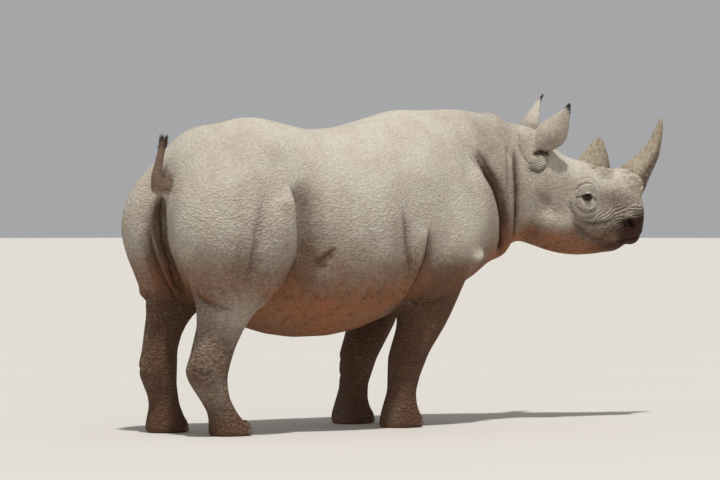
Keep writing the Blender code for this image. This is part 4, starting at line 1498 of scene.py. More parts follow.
@dataclass
class Hide:
    """The one skin over the trunk, neck, head, ears, tail and legs."""

    voxel: float = 0.005
    grow: float = 0.0008
    ball: float = 0.0246
    body_triangles: int = 92000
    most_triangles: int = 195000
    flesh: tuple[str, ...] = (
        "trunk", "neck", "head", "ear_left", "ear_right", "tail",
        "upper_fore_left", "upper_fore_right", "upper_hind_left", "upper_hind_right",
        "lower_fore_left", "lower_fore_right", "lower_hind_left", "lower_hind_right",
        "foot_fore_left", "foot_fore_right", "foot_hind_left", "foot_hind_right",
    )

    def plug(self, horn: str, centre: Point, axis: Point) -> Shape:
        """Fills the seat of a horn.

        Args:
            horn: The horn's node.
            centre: A point of the plane that ends the plug, on the straight spine.
            axis: Direction towards the horn's tip there.

        Returns:
            The part of the horn under the skin, a little fuller.
        """
        mesh = node_copy(horn, 0.0015)
        ends = BEND.to_frame(np.array([centre, np.array(centre) + np.array(axis)]))
        cut = {"plane_co": ends[0], "plane_no": ends[1] - ends[0], "clear_outer": True}
        bmesh.ops.bisect_plane(mesh, geom=mesh.verts[:] + mesh.edges[:] + mesh.faces[:], **cut)
        rim = [edge for edge in mesh.edges if edge.is_boundary]
        bmesh.ops.contextual_create(mesh, geom=rim)
        bmesh.ops.recalc_face_normals(mesh, faces=mesh.faces)
        return mesh

    def cast(self) -> Mesh:
        """Joins the flesh, with the sockets of the horns, eyes and nails filled.

        Returns:
            The mesh, whose parts overlap.
        """
        parts = [node_copy(name, self.grow) for name in self.flesh if not name.startswith("ear")]
        parts += [ear.mesh() for ear in EARS]
        parts.append(self.plug("horn_front", (2.079, 0.0, 1.242), (0.677, 0.0, 0.736)))
        parts.append(self.plug("horn_rear", (1.868, 0.0, 1.313), (0.23, 0.0, 0.973)))
        for side in (1.0, -1.0):
            place = Matrix.Translation(BEND.to_frame(np.array([[EYE[0], side * abs(EYE[1]), EYE[2]]]))[0])
            ball = bmesh.new()
            bmesh.ops.create_icosphere(ball, subdivisions=4, radius=self.ball, matrix=place)
            parts.append(ball)
        parts += [node_copy(name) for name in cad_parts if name.startswith("toenail")]
        return joined(parts, "hide")

    def evened(self, made: Thing) -> None:
        """Fuses the cast into one even mesh and takes the facets off it, on the straight spine.

        Args:
            made: The hide's object, which holds the cast and takes the new mesh.
        """
        voxel = self.voxel
        fuse = made.modifiers.new("fuse", "REMESH")
        fuse.mode, fuse.voxel_size = "VOXEL", voxel
        mesh = settled(made)
        points = BEND.to_straight(points_of(mesh))
        edges = edges_of(mesh)
        LOG.info("hide fused: %d vertices", len(points))
        weight = self.softness(points)
        points = relax(points, edges, weight, int(100 * (0.005 / voxel) ** 2))
        points[:, 2] = np.maximum(points[:, 2], 0.0)
        move_points(mesh, points)

    def softness(self, points: Array) -> Array:
        """How much of its detail each part loses when the facets are taken off.

        Args:
            points: Vertices on the straight spine.

        Returns:
            A weight from 0 to 1.
        """
        along, out, up = points.T
        weight = 0.22 + 0.7 * ease(0.55, 0.85, up)
        weight = weight + (0.11 - weight) * ease(1.28, 1.5, along)
        weight = weight + (0.07 - weight) * ease(1.95, 2.05, along)
        for ear in EARS:
            share, away = ear.share(points)
            weight = weight + (0.02 - weight) * ease(0.1, 0.25, share) * ease(0.13, 0.11, away)
        tail = ease(-0.735, -0.765, along) * ease(0.1, 0.06, np.abs(out)) * ease(1.12, 1.18, up)
        return weight + (0.06 - weight) * tail

    def muscled(self, mesh: Mesh) -> None:
        """Raises the muscles and sinks the hollows between them."""
        points, normals = points_of(mesh), normals_of(mesh)
        skin = Skin.folded(points, normals)
        rise = sum(muscle.height(skin) for muscle in MUSCLES)
        move_points(mesh, points + normals * rise[:, None])

    def creased(self, mesh: Mesh) -> None:
        """Sinks the folds and swells the skin beside them."""
        points, normals, edges = points_of(mesh), normals_of(mesh), edges_of(mesh)
        skins = {True: Skin.folded(points, normals), False: Skin(points, normals)}
        grooves = sum(crease.groove(skins[crease.both]) for crease in CREASES)
        swells = sum(crease.swell(skins[crease.both]) for crease in CREASES)
        even = np.full(len(points), 0.6)
        rise = relax(swells[:, None], edges, even, 26)[:, 0]
        rise += relax(grooves[:, None], edges, even, 2)[:, 0]
        move_points(mesh, points + normals * rise[:, None])

    def thinned(self, made: Thing) -> None:
        """Thins the body and the back of the head, and leaves the face, the seats of the horns and the ears
        as they are.
        """
        mesh = made.data
        points = points_of(mesh)
        skin = Skin.folded(points, points)
        kept = np.zeros(len(points), bool)
        for centre, reach in FACE + SEATS:
            kept[skin.near(centre, reach)] = True
        for ear in EARS:
            share, away = ear.share(points)
            kept |= (share > 0.16) & (away < 0.12)
        group = made.vertex_groups.new(name="thin")
        group.add(np.flatnonzero(~kept).tolist(), 1.0, "REPLACE")
        count = triangles_in(mesh)
        share = kept.mean()
        thin = made.modifiers.new("thin", "DECIMATE")
        thin.vertex_group = "thin"
        thin.use_collapse_triangulate = False
        thin.ratio = min(1.0, (count * share + self.body_triangles) / count)
        settled(made)
        made.vertex_groups.clear()

    def trimmed(self, made: Thing) -> None:
        """Takes out the triangles that tell the least, down to the most the piece may have."""
        count = triangles_in(made.data)
        if count > self.most_triangles:
            trim = made.modifiers.new("trim", "DECIMATE")
            trim.ratio = self.most_triangles / count
            settled(made)

    def refined(self, mesh: Mesh, spots: Sequence[tuple[Point, float]]) -> None:
        """Splits the edges of the faces round some spots, on both sides.

        Args:
            mesh: The hide's mesh.
            spots: Centre and radius of each.
        """
        points = points_of(mesh)
        skin = Skin.folded(points, points)
        chosen = np.zeros(len(points), bool)
        for centre, reach in spots:
            chosen[skin.near(centre, reach)] = True
        work = bmesh.new()
        work.from_mesh(mesh)
        edges = [edge for edge in work.edges if chosen[edge.verts[0].index] and chosen[edge.verts[1].index]]
        bmesh.ops.subdivide_edges(work, edges=edges, cuts=1, use_grid_fill=True)
        bmesh.ops.triangulate(work, faces=[face for face in work.faces if len(face.verts) > 4])
        work.to_mesh(mesh)
        work.free()
        points = points_of(mesh)
        skin = Skin.folded(points, points)
        weight = np.zeros(len(points))
        for centre, reach in spots:
            weight[skin.near(centre, 1.05 * reach)] = 0.6
        move_points(mesh, relax(points, edges_of(mesh), weight, 5))

    def opened(self, mesh: Mesh) -> None:
        """Shapes the eyelids and sinks the nostrils."""
        points, normals = points_of(mesh), normals_of(mesh)
        skin = Skin.folded(points, normals)
        mirror = np.where(points[:, 1] > 0, -1.0, 1.0)
        found = skin.near(EYE, 0.058)
        inside, above, ahead, out = lid_gap(skin, found)
        level = (skin.points[found] - np.array(EYE)) @ eye_axes()[1]
        aside = np.hypot(ahead, level)
        ball = np.sqrt(np.maximum(0.0262**2 - aside**2, 0.0105**2))
        settle = ease(-0.016, -0.001, inside)
        target = out + (np.maximum(ball, out * (aside < 0.02)) - out) * settle
        middle = ease(0.03, 0.012, np.abs(ahead))
        target += 0.006 * np.exp(-(((above - 0.005) / 0.0055) ** 2)) * middle
        target += 0.0028 * np.exp(-(((inside + 0.0045) / 0.0035) ** 2)) * (above < -0.01) * middle
        target += (ball - 0.0075 - target) * ease(-0.001, 0.0012, inside)
        near = ease(0.05, 0.042, aside) * (out > -0.004)
        shift = np.outer((target - out) * near, eye_axes()[2])
        shift[:, 1] *= mirror[found]
        points[found] += shift
        found = skin.near(NOSTRIL, 0.06)
        away = skin.points[found] - np.array(NOSTRIL)
        inward = np.array([-0.42, 0.88, 0.1])
        up = away @ np.array([0.36, 0.0, 0.93])
        reach = nostril_reach(skin.points[found])
        depth = 0.036 * ease(1.1, 0.35, reach)
        rim = 0.006 * np.exp(-(((reach - 1.45) / 0.4) ** 2)) * ease(-0.03, 0.012, up)
        shift = np.outer(depth, inward) + skin.normals[found] * rim[:, None]
        shift[:, 1] *= mirror[found]
        points[found] += shift
        move_points(mesh, points)

    def folded(self, mesh: Mesh) -> None:
        """Raises the wrinkles where the mesh is fine enough to hold them."""
        points, normals, size = points_of(mesh), normals_of(mesh), coarseness(mesh)
        skin = Skin.folded(points, normals)
        rise, kept = np.zeros(len(points)), calm(skin.points)
        for fold in FOLDS:
            found, phase, strength = fold.count(skin)
            ridge = np.abs(np.sin(math.pi * phase)) ** 0.7 - 0.65
            fine = ease(0.55, 0.25, size[found] / fold.spacing)
            rise[found] += fold.height * strength * ridge * fine * kept[found]
        lumps, grit = blot(skin.points, 0.026, 34), blot(skin.points, 0.014, 35)
        rise += self.seat(skin) * (0.016 * np.abs(lumps) + 0.008 * np.abs(grit))
        move_points(mesh, points + normals * rise[:, None])

    def seat(self, skin: Skin) -> Array:
        """How near each vertex lies to the seat of a horn, from 0 to 1."""
        made = np.zeros(len(skin.points))
        for centre, size in SEATS:
            made = np.maximum(made, ease(size, 0.72 * size, norm(skin.points - np.array(centre), axis=1)))
        return made

    def marked(self, mesh: Mesh) -> None:
        """Stores what the hide's finish reads: dust, soil, painted light and shade, roughness, fold lines.
        """
        points, normals = points_of(mesh), normals_of(mesh)
        skin = Skin.folded(points, normals)
        count = len(points)
        phase, amount, size = np.zeros(count), np.zeros(count), coarseness(mesh)
        for fold in FOLDS:
            found, turn, strength = fold.count(skin)
            strength = strength * fold.amount * ease(1.0, 0.5, size[found] / fold.spacing)
            stronger = strength > amount[found]
            rest = np.where(stronger, amount[found], strength)
            phase[found] = np.where(stronger, turn, phase[found])
            amount[found] = np.maximum(strength, amount[found]) - rest
        amount *= calm(skin.points)
        a, b = edges_of(mesh).T
        length = norm(points[a] - points[b], axis=1)
        torn = np.abs(phase[a] - phase[b]) > 0.6 + 150.0 * length
        amount[a[torn]] = amount[b[torn]] = 0.0
        distance, ink = np.full(count, 0.05), np.zeros(count)
        for feature in CREASES:
            found, beside, strength = feature.line(skin if feature.both else Skin(points, normals))
            stronger = strength > ink[found]
            distance[found] = np.where(stronger, beside, distance[found])
            ink[found] = np.maximum(strength, ink[found])
        give_values(mesh, "fold", phase)
        give_values(mesh, "fold_amount", amount)
        give_values(mesh, "crease", distance)
        give_values(mesh, "crease_amount", ink)
        for name, values in self.tones(skin, points).items():
            give_values(mesh, name, np.clip(values, 0.0, 1.0))

    def tones(self, skin: Skin, points: Array) -> dict[str, Array]:
        """Where dust, soil, painted light and shade, and textures lie.

        Args:
            skin: The folded skin.
            points: The vertices, not folded.

        Returns:
            A number for each vertex under each name.
        """
        along, out, up = skin.points.T
        facing = skin.normals[:, 2]
        blots = blot(skin.points, 0.22, 31) * 0.6 + blot(skin.points, 0.09, 32) * 0.4
        head = ease(1.36, 1.46, along)
        level = up + 0.05 * blots + 0.05 * facing
        trunk = ease(0.62, 1.02, level)
        saddle = ease(-0.55, -0.15, along) * ease(1.0, 0.6, along)
        dust = 0.2 + 0.43 * trunk + (0.12 + 0.26 * saddle) * ease(-0.1, 0.8, facing) * trunk
        blade = skin.glow((0.86, -0.32, 1.08), (0.2, 0.2, 0.2))
        dust = dust + 0.3 * blade - 0.14 * ease(0.98, 1.12, along)
        under = ease(-0.47, -0.34, along) * ease(0.53, 0.42, along)
        leg = ease(0.74, 0.6, up) * (1.0 - head) * (1.0 - under)
        knee = skin.glow((-0.52, -0.33, 0.6), (0.16, 0.12, 0.14))
        # The near hind leg gets more dust than the other legs: painted light on it.
        leg_dust_and_light = 0.14 + 0.18 * (along < 0) * (points[:, 1] < 0)
        dust = dust + leg * (leg_dust_and_light - dust) + 0.45 * knee + 0.12 * leg * blots
        # Less dust near the ground: painted shade on the feet.
        dust = dust * (1.0 - 0.55 * ease(0.24, 0.1, up))
        arm = skin.glow((0.76, -0.3, 0.74), (0.22, 0.2, 0.16))
        dust = dust - 0.35 * arm
        face = ease(0.94, 1.08, up + 0.03 * blots + 0.04 * facing)
        ridge = np.abs(up - 1.29 - 0.3 * (1.9 - along).clip(0.0))
        brow = ease(0.14, 0.05, ridge) * ease(1.6, 1.75, along)
        side = 0.22 + 0.42 * face + 0.26 * brow + 0.14 * blots + 0.22 * ease(0.1, 0.9, facing)
        dust = dust + head * (side - dust)
        snout = skin.glow((1.94, -0.12, 1.145), (0.18, 0.12, 0.105))
        dust = dust - 0.34 * snout
        jowl = skin.glow((1.57, -0.17, 1.04), (0.1, 0.1, 0.07))
        dust = dust + 0.22 * jowl
        # The knob before the shoulder is painted paler: partly dust, partly painted light on its top.
        knob = skin.glow((0.983, -0.33, 0.866), (0.08, 0.08, 0.036))
        dust = dust + 0.42 * knob
        # Red-brown below: partly soil, and on surfaces that face down partly painted bounce light from the
        # ground.
        belly = ease(1.0, 0.62, up + 0.05 * blots) * (1.0 - leg) * (1.0 - head)
        earth_and_bounce = (0.72 + 0.12 * blots) * belly * ease(0.25, -0.7, facing + 0.2 * blots)
        throat = 0.74 * (ease(1.05, 1.22, along) * ease(1.1, 0.92, up + 0.03 * blots))
        throat = throat * ease(2.02, 1.86, along) * ease(0.1, -0.7, facing + 0.15 * blots)
        earth_and_bounce = np.maximum(earth_and_bounce, throat)
        earth_and_bounce = np.maximum(earth_and_bounce, 0.11 * leg)
        mouth = norm((skin.points - np.array([2.115, -0.03, 0.975])) / np.array([1.25, 1.0, 1.0]), axis=1)
        wet = ease(0.18, 0.1, mouth + 0.022 * blots)
        lips = np.exp(-(((up - 0.905) / 0.045) ** 2)) * ease(1.76, 1.94, along + 0.03 * blots)
        wet = np.maximum(wet, 0.9 * lips)
        # The lid margins and corners are darkened with the muzzle's colour: partly their own dark skin,
        # partly painted shade in the socket and under the upper lid.
        found = skin.near(EYE, 0.06)
        inside, above, ahead, _ = lid_gap(skin, found)
        lid_dark_and_shade = np.zeros(len(up))
        lid = inside + 0.006 * ease(0.0, 0.02, np.abs(ahead)) - 0.005 * (above > 0)
        lid_dark_and_shade[found] = ease(-0.014, -0.0035, lid)
        pit = norm((skin.points - np.array(NOSTRIL)) / np.array([1.3, 1.0, 0.8]), axis=1)
        wet = np.maximum(wet, np.maximum(0.92 * lid_dark_and_shade, ease(0.075, 0.03, pit + 0.012 * blots)))
        black_and_hole_shade = 0.85 * ease(1.15, 0.75, nostril_reach(skin.points))
        smooth = np.zeros(len(up))
        for ear in EARS:
            share, far = ear.share(points)
            # Part way up each ear the dust thins: painted shade on its lower part.
            dust = dust - 0.16 * ease(0.08, 0.26, share) * ease(0.6, 0.3, share) * ease(0.12, 0.06, far)
            smooth = np.maximum(smooth, ease(0.1, 0.25, share) * (far < 0.12))
            edge = ease(0.86, 0.97, share + 0.02 * blots) * (far < 0.1)
            black_and_hole_shade = np.maximum(black_and_hole_shade, edge)
        bare_and_shade = sum(crease.shade(skin if crease.both else Skin(points, skin.normals)) for crease in CREASES)
        flesh = 0.12 * np.exp(-((out / 0.05) ** 2)) * ease(-0.74, -0.77, along) * ease(1.14, 1.2, up)
        tail = ease(-0.735, -0.765, along) * ease(0.08, 0.05, np.abs(out)) * ease(1.17, 1.24, up)
        dust = dust - 0.75 * tail
        seat = self.seat(skin)
        flesh = np.maximum(flesh, 0.5 * seat * (0.7 + 0.8 * blot(skin.points, 0.014, 33)))
        thigh = skin.glow((-0.6, -0.33, 0.86), (0.3, 0.3, 0.26))
        jaw = head * ease(1.08, 0.96, up) * ease(2.0, 1.85, along)
        pebble = 0.3 - 0.14 * ease(1.15, 1.35, up) + 0.62 * thigh + 0.55 * leg + 0.5 * seat + 0.35 * jaw
        side = skin.glow((0.2, -0.45, 0.85), (0.35, 0.3, 0.22))
        pebble = (pebble + 0.25 * side) * (1.0 - 0.85 * smooth)
        limb = ease(0.95, 0.62, up) * (1.0 - head) * (1.0 - 0.7 * under)
        # Beside the folds the dust thins and the skin turns to the limbs' colour: partly bare skin, partly
        # painted shade.
        dust = dust - 0.8 * bare_and_shade - 0.35 * flesh
        return {
            "dust": dust, "earth_and_bounce": earth_and_bounce, "wet": wet, "black_and_hole_shade": black_and_hole_shade, "flesh": flesh, "pebble": pebble,
            "limb": np.maximum(limb, bare_and_shade),
        }

    def make(self, finish: HideFinish) -> Thing:
        """Builds and dresses the hide.

        Args:
            finish: Its finish.

        Returns:
            The piece, in the frame.
        """
        made = new_object("hide", self.cast())
        self.evened(made)
        self.muscled(made.data)
        self.creased(made.data)
        LOG.info("hide modelled: %d triangles", triangles_in(made.data))
        self.thinned(made)
        mesh = made.data
        self.refined(mesh, FACE)
        self.refined(mesh, FINEST)
        self.folded(mesh)
        self.opened(mesh)
        self.trimmed(made)
        mesh = made.data
        self.marked(mesh)
        move_points(mesh, BEND.to_frame(points_of(mesh)))
        dress(made, finish.make())
        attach(made, BODY)
        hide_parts(*self.flesh)
        LOG.info("hide: %d triangles", triangles_in(mesh))
        return made


# --- horns, eyes and toenails --------------------------------------------------------------------
@dataclass
class Horn:
    """A horn of packed fibres that grows from a rough, spread base."""

    node: str
    centre_line: tuple[tuple[float, float], ...]
    voxel: float = 0.0035
    fibre: float = 0.001
    ring: float = 0.0012
    # How strongly the painted shade on the lower front shows.
    shade: float = 1.0

    def make(self, material: Material) -> Thing:
        """Builds and dresses the horn.

        Args:
            material: Its material.

        Returns:
            The piece, in the frame.
        """
        made = new_object("visual_" + self.node, joined([node_copy(self.node)], self.node + "_mesh"))
        fuse = made.modifiers.new("fuse", "REMESH")
        fuse.mode, fuse.voxel_size = "VOXEL", self.voxel
        mesh = settled(made)
        points = BEND.to_straight(points_of(mesh))
        points = relax(points, edges_of(mesh), np.full(len(points), 0.6), 22)
        path = smooth_path([(along, 0.0, up) for along, up in self.centre_line], 0.004)
        gap = (points**2).sum(axis=1)[:, None] + (path**2).sum(axis=1) - 2 * points @ path.T
        nearest = gap.argmin(axis=1)
        rise = nearest / (len(path) - 1)
        heading = np.gradient(path, axis=0)
        heading /= norm(heading, axis=1, keepdims=True)
        front = np.cross(np.array([0.0, 1.0, 0.0]), heading[nearest])
        away = points - path[nearest]
        ahead = (away * front).sum(axis=1)
        around = np.abs(np.arctan2(away[:, 1], ahead))
        move_points(mesh, points)
        normals = normals_of(mesh)
        low = ease(0.45, 0.0, rise)
        fibres = blot(np.stack([around * 9.0, rise * 2.0, np.zeros_like(rise)], axis=1), 1.0, 41)
        rings = blot(np.stack([around * 0.8, rise * 26.0, np.zeros_like(rise)], axis=1), 1.0, 42)
        rough = blot(points, 0.012, 43)
        scurf = np.abs(blot(points, 0.024, 44)) * ease(0.16, 0.02, rise) * 2.0
        height = self.fibre * fibres * (0.5 + low) + self.ring * rings * (0.3 + 1.2 * low)
        height = height + (0.0016 * rough + 0.0034 * scurf) * low
        points = points + normals * height[:, None]
        move_points(mesh, BEND.to_frame(points))
        give_values(mesh, "rise", rise)
        give_values(mesh, "front", self.shade * (np.cos(around) * 0.5 + 0.5))
        give_values(mesh, "around", around)
        dress(made, material)
        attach(made, BODY)
        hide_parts(self.node)
        LOG.info("%s: %d triangles", made.name, triangles_in(mesh))
        return made


HORNS = (
    Horn(
        "horn_front",
        (
            (2.063, 1.223), (2.09, 1.256), (2.123, 1.3), (2.169, 1.353), (2.211, 1.411),
            (2.234, 1.469), (2.252, 1.529), (2.26, 1.569), (2.263, 1.589),
        ),
    ),
    Horn(
        "horn_rear",
        ((1.862, 1.278), (1.873, 1.338), (1.89, 1.389), (1.901, 1.431), (1.907, 1.464), (1.91, 1.483)),
        shade=0.62,
    ),
)


@dataclass
class Eye:
    """A dark wet eyeball with a slightly raised front."""

    node: str
    side: float
    radius: float = 0.0229
    swell: float = 0.0012
    segments: int = 40
    rings: int = 24

    def make(self, material: Material) -> Thing:
        """Builds and dresses the eye.

        Args:
            material: Its material.

        Returns:
            The piece, in the frame.
        """
        outward = eye_axes()[2] * np.array([1.0, -self.side, 1.0])
        centre = np.array([EYE[0], self.side * abs(EYE[1]), EYE[2]])
        ends = BEND.to_frame(np.array([centre, centre + outward * 0.01]))
        turn = turned(Vector(ends[1] - ends[0]), "Z")
        ball = bmesh.new()
        bmesh.ops.create_uvsphere(ball, u_segments=self.segments, v_segments=self.rings, radius=self.radius)
        for vertex in ball.verts:
            share = vertex.co.z / self.radius
            vertex.co *= 1.0 + self.swell / self.radius * float(ease(0.7, 0.95, np.array(share)))
        axis = [math.hypot(vertex.co.x, vertex.co.y) if vertex.co.z > 0 else 1.0 for vertex in ball.verts]
        bmesh.ops.transform(ball, matrix=Matrix.Translation(ends[0]) @ turn, verts=ball.verts)
        mesh = mesh_from(ball, "eyeball_" + self.node)
        give_values(mesh, "axis", np.array(axis))
        made = new_object("visual_" + self.node, mesh)
        dress(made, material)
        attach(made, BODY)
        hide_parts(self.node)
        LOG.info("%s: %d triangles", made.name, triangles_in(mesh))
        return made


class Growth(Enum):
    """The axis along which a planted copy grows."""

    HAIR = "Z"
    NAIL = "X"


class Grove:
    """A Geometry Nodes tree that plants copies of one object on points."""

    def __init__(self, name: str, growth: Growth) -> None:
        """Builds the tree.

        Args:
            name: Name of the tree.
            growth: What is planted. Each tuft of hair gets its own small patch of the OFBake map.
        """
        patch = growth is Growth.HAIR
        self.tree = bpy.data.node_groups.new(name, "GeometryNodeTree")
        kinds = {
            "Points": "NodeSocketGeometry", "Copy": "NodeSocketObject", "Finish": "NodeSocketMaterial",
            "Size": "NodeSocketFloat", "Patch": "NodeSocketFloat", "Seed": "NodeSocketInt",
        }
        self.sockets = {
            label: self.tree.interface.new_socket(label, in_out="INPUT", socket_type=kind).identifier
            for label, kind in kinds.items()
        }
        self.tree.interface.new_socket("Geometry", in_out="OUTPUT", socket_type="NodeSocketGeometry")
        graph = Graph(self.tree)
        given = graph.add("NodeGroupInput").outputs
        made = graph.add("NodeGroupOutput").inputs
        copy = graph.add("GeometryNodeObjectInfo", {"Object": given["Copy"]}, transform_space="ORIGINAL")
        lie = graph.stored("lie")
        tilts = {"Min": (-0.2, -0.2, 0.0), "Max": (0.2, 0.2, FULL_TURN), "Seed": given["Seed"]}
        spin = graph.add("FunctionNodeRandomValue", tilts, data_type="FLOAT_VECTOR").outputs[0]
        turn = graph.add("FunctionNodeAlignRotationToVector", {"Vector": lie}, axis=growth.value).outputs[0]
        if patch:
            roll = graph.add("FunctionNodeEulerToRotation", {0: spin}).outputs[0]
            turn = graph.add("FunctionNodeRotateRotation", {0: turn, 1: roll}, rotation_space="LOCAL")
            turn = turn.outputs[0]
        size = graph.times(graph.stored("large", "FLOAT"), given["Size"])
        inputs = {"Points": given["Points"], "Instance": copy.outputs["Geometry"]}
        inputs |= {"Rotation": turn, "Scale": size}
        planted = graph.add("GeometryNodeInstanceOnPoints", inputs).outputs[0]
        solid = graph.add("GeometryNodeRealizeInstances", {0: planted}).outputs[0]
        if patch:
            within = graph.vectors("SCALE", graph.stored("corner"), given["Patch"])
            spot = graph.vectors("ADD", graph.stored("place"), within)
            store = graph.add("GeometryNodeStoreNamedAttribute", data_type="FLOAT2", domain="CORNER")
            for label, value in (("Geometry", solid), ("Name", "OFBake"), ("Value", spot)):
                graph.feed(store.inputs[label], value)
            solid = store.outputs[0]
        inputs = {"Geometry": solid, "Material": given["Finish"]}
        graph.feed(made[0], graph.add("GeometryNodeSetMaterial", inputs).outputs[0])

    def plant(
        self, name: str, points: Mesh, copy: Thing, material: Material, **values: float
    ) -> Thing:
        """Plants the copies and leaves a plain mesh.

        Args:
            name: Name of the piece.
            points: Where they stand, with lie, large and place stored on each point.
            copy: What is planted, growing from the origin. It is removed.
            material: Its material.
            values: Size, Patch and Seed.

        Returns:
            The piece.
        """
        made = new_object(name, points)
        modifier = made.modifiers.new("plant", "NODES")
        modifier.node_group = self.tree
        modifier[self.sockets["Copy"]] = copy
        modifier[self.sockets["Finish"]] = material
        for label, value in values.items():
            modifier[self.sockets[label]] = value
        mesh = settled(made)
        bpy.data.objects.remove(copy)
        for spare in ("lie", "large", "place", "corner"):
            if spare in mesh.attributes:
                mesh.attributes.remove(mesh.attributes[spare])
        mesh.polygons.foreach_set("use_smooth", [True] * len(mesh.polygons))
        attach(made, BODY)
        LOG.info("%s: %d triangles", name, triangles_in(mesh))
        return made


def point_mesh(name: str, rows: Sequence[tuple[Array, Array, float, tuple[float, float]]]) -> Mesh:
    """Points to plant on.

    Args:
        name: Name of the mesh.
        rows: Place, direction of growth, size and spot on the map of each.

    Returns:
        The mesh of loose vertices.
    """
    mesh = bpy.data.meshes.new(name)
    mesh.from_pydata([tuple(row[0]) for row in rows], [], [])
    give_vectors(mesh, "lie", [row[1] for row in rows])
    give_vectors(mesh, "place", [(*row[3], 0.0) for row in rows])
    give_values(mesh, "large", np.array([row[2] for row in rows]))
    return mesh


@dataclass
class Toenails:
    """Three broad nails on each foot."""

    half: float = 0.036
    height: float = 0.07
    thick: float = 0.019
    proud: float = 0.004
    headings: tuple[float, ...] = (-50.0, 0.0, 50.0)
    feet: tuple[str, ...] = ("fore_left", "fore_right", "hind_left", "hind_right")

    def nail(self) -> Thing:
        """One nail on the origin, with its face towards +X.

        Returns:
            The object to plant.
        """
        rows = []
        for level in np.linspace(0.0, 1.0, 15):
            round_ = math.sqrt(max(0.0, 1.0 - abs(2.0 * level - 1.0) ** 3.2))
            width = max(self.half * (1.0 - 0.22 * level) * round_, 0.003)
            depth = max(self.thick * (1.0 - 0.3 * level) * round_, 0.002)
            angle = np.linspace(0.0, 2.0 * math.pi, 24, endpoint=False)
            across = np.sign(np.sin(angle)) * np.abs(np.sin(angle)) ** 0.75 * width
            out = np.cos(angle) * depth * (1.0 + 0.03 * math.sin(level * 40.0)) - 7.0 * across**2
            lean = -0.2 * level * self.height
            rows.append(np.stack([out + lean, across, np.full_like(out, level * self.height)], axis=1))
        return new_object("nail", mesh_from(loft(rows), "nail"))

    def make(self, grove: Grove, material: Material) -> Thing:
        """Plants the nails.

        Args:
            grove: The planting tree.
            material: Their material.

        Returns:
            The piece, in the frame.
        """
        rows, nodes = [], []
        for foot in self.feet:
            for number, heading in enumerate(self.headings):
                node = f"toenail_{foot}_{number + 1}"
                low, high = (np.array(corner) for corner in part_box(node))
                turn = math.radians(heading)
                facing = np.array([math.cos(turn), math.sin(turn), 0.0])
                centre = (low + high) / 2
                centre[2] = 0.004
                size = 1.0 if heading == 0 else 0.92
                rows.append((centre + facing * self.proud, facing, size, (0.0, 0.0)))
                nodes.append(node)
        points = point_mesh("nail_points", rows)
        made = grove.plant("toenails", points, self.nail(), material, Size=1.0, Seed=1)
        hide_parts(*nodes)
        return made


# --- hair ----------------------------------------------------------------------------------------
def tuft(name: str, blades: int, length: float, spread: float, thick: float, seed: int) -> Thing:
    """A tuft of tapering hairs that leave one root.

    Args:
        name: Name of the tuft.
        blades: How many hairs.
        length: Length of the longest.
        spread: How far the tips stand apart, as a share of the length.
        thick: Radius of a hair at its root.
        seed: Picks the pattern.

    Returns:
        The object to plant, with corner stored for its patch of the map.
    """
    chance = np.random.default_rng(seed)
    shape = bmesh.new()
    for _ in range(blades):
        heading = chance.uniform(0.0, 2.0 * math.pi)
        lean = np.array([math.cos(heading), math.sin(heading), 0.0])
        long = length * chance.uniform(0.7, 1.0)
        fan, root = spread * chance.uniform(0.2, 1.0), lean * thick * chance.uniform(0.0, 2.5)
        rings = []
        for share in (0.0, 0.35, 0.7, 1.0):
            centre = root + lean * fan * long * share**1.6 + np.array([0.0, 0.0, long * share])
            size = thick * (1.0 - 0.88 * share)
            corner = [(math.cos(a) * size, math.sin(a) * size, 0.0) for a in (0.0, 2.094, 4.189)]
            rings.append([shape.verts.new(centre + np.array(c)) for c in corner])
        for low, high in zip(rings, rings[1:]):
            for i in range(3):
                shape.faces.new((low[i], low[(i + 1) % 3], high[(i + 1) % 3], high[i]))
        shape.faces.new(rings[0][::-1])
        shape.faces.new(rings[-1])
    mesh = mesh_from(shape, name)
    points = points_of(mesh)
    corner = np.zeros_like(points)
    corner[:, 0] = points[:, 0] / length
    corner[:, 1] = points[:, 2] / length - 0.5
    give_vectors(mesh, "corner", corner)
    return new_object(name, mesh)


